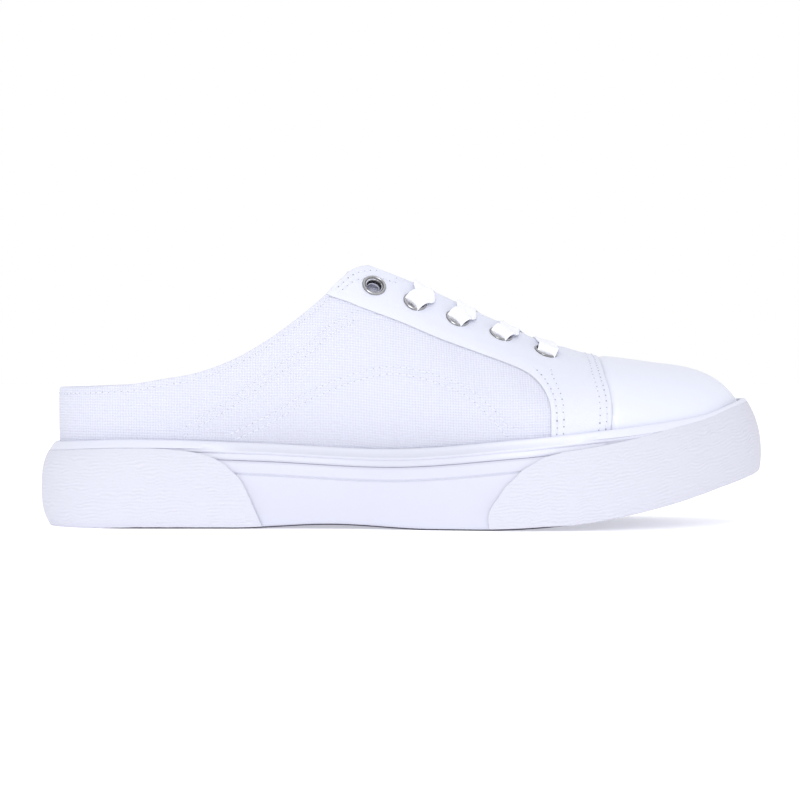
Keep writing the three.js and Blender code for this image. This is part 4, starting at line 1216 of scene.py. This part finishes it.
def make_midsole():
    rows = []
    for angle in np.radians([0, 30, 60, 90]):
        height = above_tread(PATCH_LIFT + FOOT_BEVEL * (1 - math.cos(angle)))
        rows.append((SHELL + FOOT_BEVEL * (1 - math.sin(angle)), height))
    rows += [(SHELL, at_level(level)) for level in np.linspace(0.1, 0.5, 9)]
    for place_across, sunk in BAND_SECTION:
        rows.append((SHELL + BAND_LINE * sunk, below_edge(BAND_BOTTOM + BAND_LINE * place_across)))
    rows += [(SHELL + sunk, below_edge(depth)) for depth, sunk in UNDER_STRIP]
    inside = wall["inset"](share_of(wall_turns)) + CUP_INSIDE
    top = below_edge(UNDER_STRIP[-1][0])
    made = side_ring("cup_side", inside, above_tread(PATCH_LIFT), rows, top, sole_rubber)
    add_piece(made, "sole_rubber", "midsole")


HOLLOW_FORWARD = 0.55  # recess of hollow and bead where they lie level with bumper and heel patch
BEAD_FORWARD = 0.4


def make_strip():
    share = share_of(wall_turns)
    inside = wall["inset"](share) + STRIP_INSIDE
    forward = ramp(share, *BEAD_TO_TOE) + ramp(share, *BEAD_TO_HEEL)
    hollow = mix(SHELL + STRIP_HOLLOW, HOLLOW_FORWARD, forward)
    beaded = mix(SHELL, BEAD_FORWARD, forward)
    upper_part = mix(SHELL + STRIP_HOLLOW, STRIP_FLUSH, wall["flush"](share))

    def bead(up, slopes=0.0):
        """A height from the bead's top, in mm and in shares of the slope over it"""
        def height(x):
            top = top_edge(x) - np.minimum(BEAD_TOP, wall["cover"](x / LENGTH) - 0.05)
            return top + up + slopes * mix(BEAD_SLOPE, 0.08, wall["flush"](x / LENGTH))

        return height

    rows = [
        (hollow + 0.25, below_edge(STRIP_HEIGHT)),
        (hollow, below_edge(STRIP_HEIGHT - 0.25)),
        (hollow - 0.04, below_edge(STRIP_HEIGHT - 1.2)),
        (hollow, bead(-BEAD_HEIGHT - BEAD_SLOPE)),
        (mix(beaded, hollow, 0.35), bead(-BEAD_HEIGHT - 0.12)),
        (beaded, bead(-BEAD_HEIGHT * 0.7)),
        (beaded, bead(-BEAD_HEIGHT * 0.3)),
        (mix(upper_part, beaded, 0.6), bead(0, 0.2)),
        (upper_part, bead(0, 1)),
        (upper_part - 0.05, below_edge(1.0)),
        (upper_part, below_edge(0.35)),
        (upper_part + 0.1, below_edge(0.12)),
        (upper_part + 0.35, below_edge(0)),
    ]
    places = len(rows) + 2
    grain = np.zeros((len(share) * places, 4))
    # Painted shade: the strip darkens from the heel to the ball, most along the waist where the canvas
    # bulges over it
    painted_shade = 0.25 * ramp(share, *STRIP_SHADE_FRONT)
    painted_shade += 0.65 * ramp(share, *WAIST_SHADE_REAR) * ramp(share, *WAIST_SHADE_FRONT)
    grain[:, 3] = np.repeat(painted_shade, places)
    made = side_ring("foxing", inside, below_edge(STRIP_HEIGHT), rows, below_edge(0.1), strip_rubber, grain)
    add_piece(made, "sole_rubber", "foxing_strip")


WRINKLE = 0.13  # from valley to ridge
WRINKLE_PITCH = 1.3
WRINKLE_EDGE = (0.8, 2.3)  # mm from the patch's edge over which they begin
TIP_LIP = 1.1  # how far the bumper's lower edge stands out at the toe
HEEL_WRAP = 0.42  # turns that the patches reach to on both sides
TOE_WRAP = 0.54


def wrinkles(u, v):
    """Fine wavy wrinkles that run along the sole and die out in places, from -1 to 1"""
    bends = 3.4 * value_noise(u / 4.6, v / 3.6, 21) + 1.6 * value_noise(u / 1.9, v / 2.2, 22)
    strength = np.clip(0.6 + 0.7 * value_noise(u / 4.5, v / 2.2, 23), 0.1, 1)
    return strength * np.cos(2 * math.pi * v / WRINKLE_PITCH + bends)


def patch_sheet(first, final, stations):
    turn = np.linspace(first, final, stations)[:, None] + np.zeros(PATCH_ROWS)
    level = np.linspace(0, 1, PATCH_ROWS) + np.zeros((stations, 1))

    def height(x):
        share = x / LENGTH
        ends = ramp(share, *HEEL_CLOSES) + ramp(share, *TOE_CLOSES)
        gap = PATCH_LIFT * mix(1.0 + 0.9 * share, 0.15, ends)
        return mix(underside(x) + gap, cover_line(x) + 0.15, level)

    points = wall_point(turn, 0.0, height)
    u = arc_lengths(points[:, PATCH_ROWS // 2], 0)[:, None] + np.zeros(PATCH_ROWS)
    return sheet_of(points, grain_of(u, arc_lengths(points, 1)))


def drop_of(points):
    return 1 - points[:, 2] / cover_line(points[:, 0])


def make_patch(name, node, sheet, edge_of):
    sheet = cut(sheet, moved_field(edge_of, 0.3))
    x, z = sheet.points[:, 0], sheet.points[:, 2]
    waves = wrinkles(sheet.grain[:, 0], sheet.grain[:, 1])
    waves *= ramp(cover_line(x) - z, *WRINKLE_EDGE) * ramp(-edge_of(sheet.points), *WRINKLE_EDGE)
    # Painted shade: darker in the wrinkles' valleys, and on the bumper towards the toe's tip
    sheet.grain[:, 3] = 0.3 * (1 - waves) + 0.15 * ramp(x / LENGTH, *BUMPER_SHADE)
    lip = TIP_LIP * ramp(x / LENGTH, *TIP) * np.exp(-np.maximum(0, z - underside(x) - 0.5) / 2.6)
    made = solid_of(name, sheet, WRINKLE / 2 * waves + lip, -PATCH, [crepe_rubber] * 3, 0.3)
    add_piece(made, "crepe_rubber", node)


def make_patches():
    heel = patch_sheet(-HEEL_WRAP, HEEL_WRAP, 260)
    make_patch("heel_wrap", "heel_patch", heel, lambda p: p[:, 0] - patch_front(drop_of(p)) * LENGTH)
    toe = patch_sheet(TOE_WRAP, 2 - TOE_WRAP, 400)
    make_patch("toe_guard", "toe_bumper", toe, lambda p: bumper_rear(drop_of(p)) * LENGTH - p[:, 0])


def plate_grid(inset_of, height, rows, wide):
    turn = np.linspace(0.004, 0.996, rows)
    inset = inset_of(share_of(turn))
    across = np.linspace(0, 1, wide)[None, :, None]
    plan = mix(inset_point(turn, inset)[:, None], inset_point(2 - turn, inset)[:, None], across)
    return lifted(plan, height(plan[..., 0]))


def tread_relief(points):
    """Flex grooves across heel and ball, and low zigzag ribs between them"""
    x, y = points[..., 0], points[..., 1]
    zigzag = np.abs((y / ZIGZAG_PITCH) % 2 - 1) * ZIGZAG
    ribs = np.cos(2 * math.pi * (x + zigzag) / TREAD_PITCH)
    depth = TREAD_DEPTH * np.clip(ribs * 2 + 0.2, 0, 1)
    for start, end in ((HEEL_TREAD_START, HEEL_TREAD_END), (FRONT_TREAD_START, TREAD_END)):
        for number in range(int((end - start) * LENGTH // GROOVE_PITCH)):
            aside = np.abs(x - start * LENGTH - (number + 0.5) * GROOVE_PITCH)
            groove = ramp(aside, GROOVE_WIDTH / 2 + 0.3, GROOVE_WIDTH / 2 - 0.3)
            depth = np.maximum(depth, GROOVE_DEPTH * groove)
    across = np.linspace(0, 1, x.shape[1])
    margin = np.minimum(across, 1 - across) * (y[:, -1:] - y[:, :1])
    ends = np.minimum(x - 8, LENGTH - 12 - x)
    return depth * ramp(np.minimum(margin, ends), *TREAD_CLEAR)


def make_outsole():
    margin = SHELL + OUTSOLE_MARGIN + PLATE_EASE
    points = plate_grid(lambda share: margin, underside, 330, 84)
    points[..., 2] += tread_relief(points)
    sheet = cloth_sheet(points[:, ::-1])
    sheet.normals[:] = (0, 0, -1)
    flat = sheet.points[:, 2] - underside(sheet.points[:, 0])
    made = solid_of("tread_plate", sheet, 0.0, flat - OUTSOLE, [tread_rubber, tread_rim_shadow, tread_rubber], 0.15)
    add_piece(made, "tread_rubber", "outsole")


def make_insole():
    def inset(share):
        return wall["inset"](share) + UPPER_WALL + INSOLE_EASE

    points = plate_grid(inset, lambda x: foot_bed(x) + INSOLE, 150, 60)
    across = np.linspace(-1, 1, points.shape[1])
    points[..., 2] -= HEEL_HOLLOW * (1 - across**2) * ramp(points[..., 0], HOLLOW_END * LENGTH, 0)
    made = solid_of("foot_bed", cloth_sheet(points), 0.0, 0.8 - INSOLE, [insole_cloth] * 3, 0.5)
    add_piece(made, "insole_cloth", "insole")


# Eyelets: a rolled flange over the eyestay and a barrel that is flared behind it
# Columns: radius, height and shade, where shade is painted shade, near 1 in the hole and under the flange
# and low on the flange's crown
EYELET_PROFILE = columns("radius height shade", [
    (2.42, -2.4, 1.0),
    (2.44, -1.6, 1.0),
    (2.70, -0.8, 1.0),
    (3.15, -0.2, 1.0),
    (3.50, 0.16, 0.8),
    (3.72, 0.38, 0.1),
    (3.98, 0.46, 0.0),
    (4.28, 0.34, 0.0),
    (4.52, 0.08, 0.4),
    (4.60, -0.08, 0.8),
    (4.54, -0.20, 1.0),
    (4.30, -0.24, 1.0),
    (3.40, -0.40, 1.0),
    (2.95, -0.95, 1.0),
    (2.95, -2.9, 1.0),
    (3.70, -3.15, 0.5),
    (3.75, -3.35, 0.2),
    (2.90, -3.30, 0.2),
    (2.45, -2.9, 1.0),
])
EYELET_SEAT = OVERLAY_OUT + 0.12


def frame_on(normal, towards):
    """A forward direction on a surface and the direction across it"""
    forward = unit(towards - (towards @ normal) * normal)
    return forward, np.cross(normal, forward)


def make_eyelets():
    angles = np.arange(ROUND_SIDES)[:, None] / ROUND_SIDES * -2 * math.pi
    radius, height, shade = (EYELET_PROFILE[key] for key in ("radius", "height", "shade"))
    for eyelet in eyelet_spots:
        normal = eyelet["normal"]
        forward, across = frame_on(normal, np.array([1.0, 0, 0]))
        spoke = np.cos(angles) * forward + np.sin(angles) * across
        rise = (EYELET_SEAT + height)[:, None] * normal
        points = eyelet["spot"] + spoke[:, None] * radius[:, None] + rise
        grain = np.zeros((*points.shape[:2], 4))
        grain[..., 3] = shade
        name = f"{'outer' if eyelet['side'] == OUTER else 'inner'}_{eyelet['number']}"
        add_piece(ring_solid("ring_" + name, points, nickel, grain), "eyelet_metal", "eyelet_" + name)


# Lace: one flat cord from eyelet to eyelet, across over the bottom pair, then crossing up to the second
def eyelet_at(number, side):
    return next(e for e in eyelet_spots if e["number"] == number and e["side"] == side)


EDGE_EASE = 1.3  # the lace bends this far outside the throat's edge
EDGE_HEIGHT = OVERLAY_OUT + 0.4
UNDER_STAY = -UPPER_WALL - 0.75
EDGE_BEND = 32
LACE_LEAN = (0.12, 0, 0)  # laces lie a little flatter along the shoe than the stays
LACE_FORWARD = (0.4, 0, 0)  # and a little ahead of the holes that they dive into
# A lace at its eyelet, from inside the hole outwards: mm along the lace, mm out and the bend in degrees
DIVE_OVER = (
    (-0.6, -2.6, 160),
    (-1.1, -0.2, 125),
    (-1.1, 1.4, 95),
    (0.6, 2.6, 60),
    (2.9, 2.5, 30),
    (5.0, 2.0, 10),
)
DIVE_UNDER = (
    (0.2, -2.6, 205),
    (0.6, -3.6, 160),
    (2.2, -4.2, 70),
    (5.0, -3.0, 15),
)
# Over the throat: shares of the way from edge to edge with the bend there, and mm that a lace arches up
BAR_BENDS = ((0, EDGE_BEND), (0.33, 8), (0.67, 8), (1, EDGE_BEND))
BAR_ARCH = 0.7
STRAND_SHARES = (0.25, 0.5, 0.75)
STRAND_BEND = 4
STRAND_LIFT = 0.15
STRAND_ARCHES = ((OUTER, "outer", 0.75), (INNER, "inner", -0.55))


def stay_edge(from_spot, to_spot, height):
    """Where a straight run in plan passes the throat's edge, at a height over the last"""
    for share in np.linspace(0, 1, 200):
        spot = mix(from_spot, to_spot, share)
        if abs(spot[1] - crest_side(spot[0])) < throat_half(spot[0]) + EDGE_EASE:
            break
    point, normal = from_above(spot[0], spot[1])
    return point + normal * height, unit(normal - LACE_LEAN)


def dive(eyelet, other, over):
    """Knots of the lace at an eyelet: place, direction across and bend"""
    spot, normal = eyelet["spot"], eyelet["normal"]
    forward, across = frame_on(normal, other["spot"] - spot)
    if over:
        spot = spot + LACE_FORWARD
    steps = DIVE_OVER if over else DIVE_UNDER
    return [(spot + forward * f + normal * n, across, bend) for f, n, bend in steps]


def strand(start, end, over, rows):
    """A run from one eyelet to another, over or under the first stay and over the other.
    rows: share of the way between the stays' edges, mm up and bend"""
    leave, leave_normal = stay_edge(start["spot"], end["spot"], EDGE_HEIGHT if over else UNDER_STAY)
    arrive, arrive_normal = stay_edge(end["spot"], start["spot"], EDGE_HEIGHT)
    toward = unit(end["spot"] - start["spot"])
    knots = dive(start, end, over)
    for share, up, bend in rows:
        normal = unit(mix(leave_normal, arrive_normal, share))
        knots.append((mix(leave, arrive, share) + (0, 0, up), np.cross(normal, toward), bend))
    return knots + [(spot, -across, bend) for spot, across, bend in dive(end, start, True)[::-1]]


def smooth_path(values, steps=8):
    """A Catmull-Rom curve through rows of values"""
    padded = np.concatenate([2 * values[:1] - values[1:2], values, 2 * values[-1:] - values[-2:-1]])
    out = []
    for i in range(1, len(padded) - 2):
        p0, p1, p2, p3 = padded[i - 1:i + 3]
        for t in np.arange(steps) / steps:
            a = 2 * p1
            b = (p2 - p0) * t
            c = (2 * p0 - 5 * p1 + 4 * p2 - p3) * t * t
            d = (3 * p1 - p0 - 3 * p2 + p3) * t**3
            out.append((a + b + c + d) / 2)
    out.append(values[-1])
    return np.array(out)


def ribbon(name, knots):
    """A flat lace along its knots, bent into a gutter where it passes an eyelet"""
    path, across, bend = (smooth_path(np.array(column, float)) for column in zip(*knots))
    bend = np.radians(np.where(np.abs(bend) < 2, 2, bend))[:, None]
    forward = unit(np.gradient(path, axis=0))
    across = unit(across - (across * forward).sum(1, keepdims=True) * forward)
    up = np.cross(across, forward)
    place_across = np.linspace(-0.5, 0.5, LACE_COLUMNS)
    edge = ramp(np.abs(place_across), 0.5, 0.41)
    thick = LACE / 2 * np.sqrt(np.clip(1 - (1 - edge) ** 2, 0.02, 1))
    radius = LACE_WIDTH / bend
    angle = bend * place_across
    ring = []
    for sign in (1, -1):
        reach = radius + sign * thick
        aside = np.sin(angle) * reach
        rise = np.cos(angle) * reach - radius
        layer = path[:, None] + across[:, None] * aside[..., None] + up[:, None] * rise[..., None]
        ring.append(layer[:, ::sign])
    points = np.concatenate(ring, axis=1)
    rows, wide = points.shape[:2]
    length = np.cumsum(np.linalg.norm(np.diff(path, axis=0, prepend=path[:1]), axis=1))
    u = np.broadcast_to(length[:, None], (rows, wide))
    v = np.broadcast_to(np.concatenate([place_across, place_across[::-1]]) * LACE_WIDTH, (rows, wide))
    faces = tube_faces(rows, wide, False)
    final = (rows - 1) * wide
    for i in range(wide // 2 - 1):
        lid = np.array([i, i + 1, wide - 2 - i, wide - 1 - i])
        faces += [lid.tolist(), (final + lid[::-1]).tolist()]
    return new_object(name, points, faces, [lace_cotton], grain_of(u, v))


def arch_at(share, height):
    return height * math.sin(math.pi * share)


def make_laces():
    ends = [eyelet_at(EYELET_COUNT, side) for side in (OUTER, INNER)]
    rows = [(share, arch_at(share, BAR_ARCH), bend) for share, bend in BAR_BENDS]
    add_piece(ribbon("lace_over_front", strand(*ends, True, rows)), "lace_cotton", "lace_bar")
    for number in range(EYELET_COUNT - 1, 1, -1):
        for side, word, arch in STRAND_ARCHES:
            ends = eyelet_at(number + 1, -side), eyelet_at(number, side)
            rows = [(share, STRAND_LIFT + arch_at(share, arch), STRAND_BEND) for share in STRAND_SHARES]
            knots = strand(*ends, False, [(0, 0, 6), *rows, (1, 0, EDGE_BEND)])
            add_piece(ribbon(f"lace_to_{word}_{number}", knots), "lace_cotton", f"lace_cross_{number - 1}")


# Thread: stitches and the pinholes between them
# One stitch: places from its middle as shares of half its length, and how full the thread is there
STITCH = columns("at full", [
    (-1, 0.25), (-0.82, 0.75), (-0.4, 1), (0, 1.05), (0.4, 1),
    (0.82, 0.75), (1, 0.25),
])
STITCH_ARCH = 0.16
STITCH_SUNK = 0.10
UNEVEN = 0.1  # how far stitches stray, in mm
UNEVEN_ACROSS = 0.6


def at_lengths(at, length, values):
    return np.stack([np.interp(at, length, column) for column in values.T], axis=1)


def rows_along(field_of, keep_of):
    """Stitch places along a field's zero line: place, direction and normal"""
    found = []
    for points, normals in chains(last_sheet, field_of):
        length = np.concatenate([[0], np.cumsum(np.linalg.norm(np.diff(points, axis=0), axis=1))])
        count = int(length[-1] // STITCH_PITCH)
        if count < 3:
            continue
        at = (np.arange(count) + 0.5) * length[-1] / count
        spots = at_lengths(at, length, points)
        ups = unit(at_lengths(at, length, normals))
        runs = unit(np.gradient(spots, axis=0))
        kept = keep_of(spots)
        found.append((spots[kept], runs[kept], ups[kept]))
    return found


def make_thread(rows, name, outwards, hole_material, hole_size):
    """One mesh of stitches, and one of the pinholes at their ends"""
    spots, runs, ups = (np.concatenate(part) for part in zip(*rows))
    asides = np.cross(ups, runs)
    uneven = np.random.default_rng(31).normal(0, UNEVEN, (2, len(spots), 1))
    spots = spots + ups * outwards + runs * uneven[0] + asides * uneven[1] * UNEVEN_ACROSS
    body = []
    for at, full in zip(*STITCH.values()):
        for angle in np.arange(THREAD_SIDES) / THREAD_SIDES * 2 * math.pi:
            sideways = math.cos(angle) * THREAD / 2 * full
            height = math.sin(angle) * THREAD / 2 * full + STITCH_ARCH * (1 - at**2) - STITCH_SUNK
            body.append(spots + runs * at * STITCH_LENGTH / 2 + asides * sideways + ups * height)
    faces = tube_faces(len(STITCH["at"]), THREAD_SIDES, False)
    size = len(body)
    faces += [list(range(THREAD_SIDES)), list(range(size - THREAD_SIDES, size))[::-1]]
    every = [[corner + i * size for corner in face] for i in range(len(spots)) for face in faces]
    add_piece(new_object(name, np.stack(body, axis=1), every, [thread_cotton]), "lace_cotton")
    ends = spots + runs * STITCH_PITCH / 2
    make_pinholes(ends, runs, asides, ups, name + "_pinholes", hole_material, hole_size)


# Each pinhole is a small disc of painted shade where the needle hole's shadow is
def make_pinholes(spots, runs, asides, ups, name, material, size_share):
    body = [spots + ups * 0.05]
    size = PINHOLE * size_share * np.random.default_rng(32).uniform(0.75, 1.2, (len(spots), 1))
    for reach, rise in ((size * 0.75, 0.035), (size, -0.06)):
        for angle in np.arange(PINHOLE_SIDES) / PINHOLE_SIDES * 2 * math.pi:
            body.append(spots + (runs * math.cos(angle) + asides * math.sin(angle)) * reach + ups * rise)
    body.append(spots - ups * 0.2)
    faces = []
    for k in range(PINHOLE_SIDES):
        upper, upper_after = 1 + k, 1 + (k + 1) % PINHOLE_SIDES
        lower, lower_after = upper + PINHOLE_SIDES, upper_after + PINHOLE_SIDES
        faces += [(0, upper, upper_after), (upper, lower, lower_after)]
        faces += [(upper, lower_after, upper_after), (lower, len(body) - 1, lower_after)]
    every = np.array(faces) + np.arange(len(spots))[:, None, None] * len(body)
    made = new_object(name, np.stack(body, axis=1), every.reshape(-1, 3).tolist(), [material], sharp=40)
    add_piece(made, "lace_cotton")


def on_seam(table):
    """Whether places lie on the bare canvas between a seam's two ends"""
    def keep(points):
        share = points[:, 0] / LENGTH
        bare = (rear_field(points) > 1.0) & (edge_field(points) < -1.0) & (collar_field(points) < -2.6)
        return bare & (share > table["at"][0]) & (share < table["at"][-1])

    return keep


def along_collar(points):
    return (rear_field(points) > 0.8) & (points[:, 0] < THROAT_FRONT_AT * LENGTH)


def on_front(points):
    return edge_field(points) < -1.2


def on_vamp(points):
    return on_front(points) & (rise_of(points) < 0.42) & (points[:, 0] > 0.66 * LENGTH)


def on_stay(points):
    return (rear_field(points) < -2.0) & (throat_field(points) < -2.0) & (points[:, 0] < 0.5 * LENGTH)


def make_stitching():
    rows = rows_along(moved_field(collar_field, COLLAR_ROW + CANVAS_BACK), along_collar)
    for aside in (-SEAM_HALF, SEAM_HALF):
        rows += rows_along(moved_field(rear_seam, aside), on_seam(SEAM_REAR))
        rows += rows_along(moved_field(arch_seam, aside), on_seam(SEAM_ARCH))
    make_thread(rows, "canvas_stitches", 0.0, pinhole_pale_shade, 0.8)
    rows = []
    for row in EDGE_ROWS:
        rows += rows_along(moved_field(rear_field, row), on_vamp)
        rows += rows_along(moved_field(front_field, row), on_front)
    for row in STAY_ROWS:
        rows += rows_along(moved_field(collar_field, row + TWILL_BACK), on_stay)
    make_thread(rows, "vamp_stitches", OVERLAY_OUT, pinhole_shade, 1.0)


# Floor, light and camera
FLOOR_HALF = 6.0  # metres
FLOOR_GLOW = 0.28  # the floor is a lit table
WALL_LIGHT = 1.0
CEILING_LIGHT = 0.75


def make_stage():
    mesh = bpy.data.meshes.new("floor")
    corners = [(x * FLOOR_HALF, y * FLOOR_HALF, 0) for x, y in ((-1, -1), (1, -1), (1, 1), (-1, 1))]
    mesh.from_pydata(corners, [], [(0, 1, 2, 3)])
    white = shader("floor_white", (0.97, 0.97, 0.97), 0.9, Emission_Strength=FLOOR_GLOW)
    white.node_tree.nodes["Principled BSDF"].inputs["Emission Color"].default_value = (1, 1, 1, 1)
    mesh.materials.append(white)
    link_new("floor", mesh)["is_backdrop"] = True


def add_lamp(name, spot, target, size, power):
    data = bpy.data.lights.new(name, "AREA")
    data.size = size
    data.energy = power
    lamp = link_new(name, data)
    lamp.location = spot
    lamp.rotation_euler = (Vector(target) - Vector(spot)).to_track_quat("-Z", "Y").to_euler()


def make_light():
    scene = bpy.context.scene
    scene.view_settings.view_transform = "Standard"
    scene.view_settings.look = "None"
    world = bpy.data.worlds.new("studio")
    world.use_nodes = True
    tree = world.node_tree
    tree.nodes["Background"].inputs["Color"].default_value = (1, 1, 1, 1)
    where = tree.nodes.new("ShaderNodeTexCoord")
    apart = tree.nodes.new("ShaderNodeSeparateXYZ")
    spread = tree.nodes.new("ShaderNodeMapRange")
    spread.interpolation_type = "SMOOTHSTEP"
    limits = {"From Min": 0.35, "From Max": 0.9, "To Min": WALL_LIGHT, "To Max": CEILING_LIGHT}
    for key, value in limits.items():
        spread.inputs[key].default_value = value
    tree.links.new(where.outputs["Generated"], apart.inputs[0])
    tree.links.new(apart.outputs["Z"], spread.inputs["Value"])
    tree.links.new(spread.outputs[0], tree.nodes["Background"].inputs["Strength"])
    scene.world = world
    add_lamp("overhead", (0.0, -0.15, 1.5), (0, 0, 0), 1.4, 3)
    add_lamp("key", (-0.15, -1.6, 0.8), (0, 0, 0.04), 0.8, 9)


def make_camera():
    data = bpy.data.cameras.new("photo_camera")
    data.sensor_fit = "HORIZONTAL"
    data.sensor_width = SENSOR_WIDTH
    data.lens = FOCAL_PIXELS / PHOTO_WIDTH * SENSOR_WIDTH
    data.clip_start = 0.05
    data.clip_end = 50
    camera = link_new("photo_camera", data)
    camera.location = (CAMERA_SIDE / 1000, -CAMERA_DISTANCE / 1000, CAMERA_HEIGHT / 1000)
    camera.rotation_euler = (math.radians(90 - CAMERA_DROP), 0, 0)
    bpy.context.scene.camera = camera


make_camera()
make_light()
make_stage()
make_midsole()
make_strip()
make_patches()
make_outsole()
make_insole()
make_upper()
make_vamp()
make_cap()
make_tongue()
make_eyelets()
make_laces()
make_stitching()


def corners(box):
    return [list(corner) for corner in box]


{"cad": corners(cad_box), "visual": corners(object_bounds())}
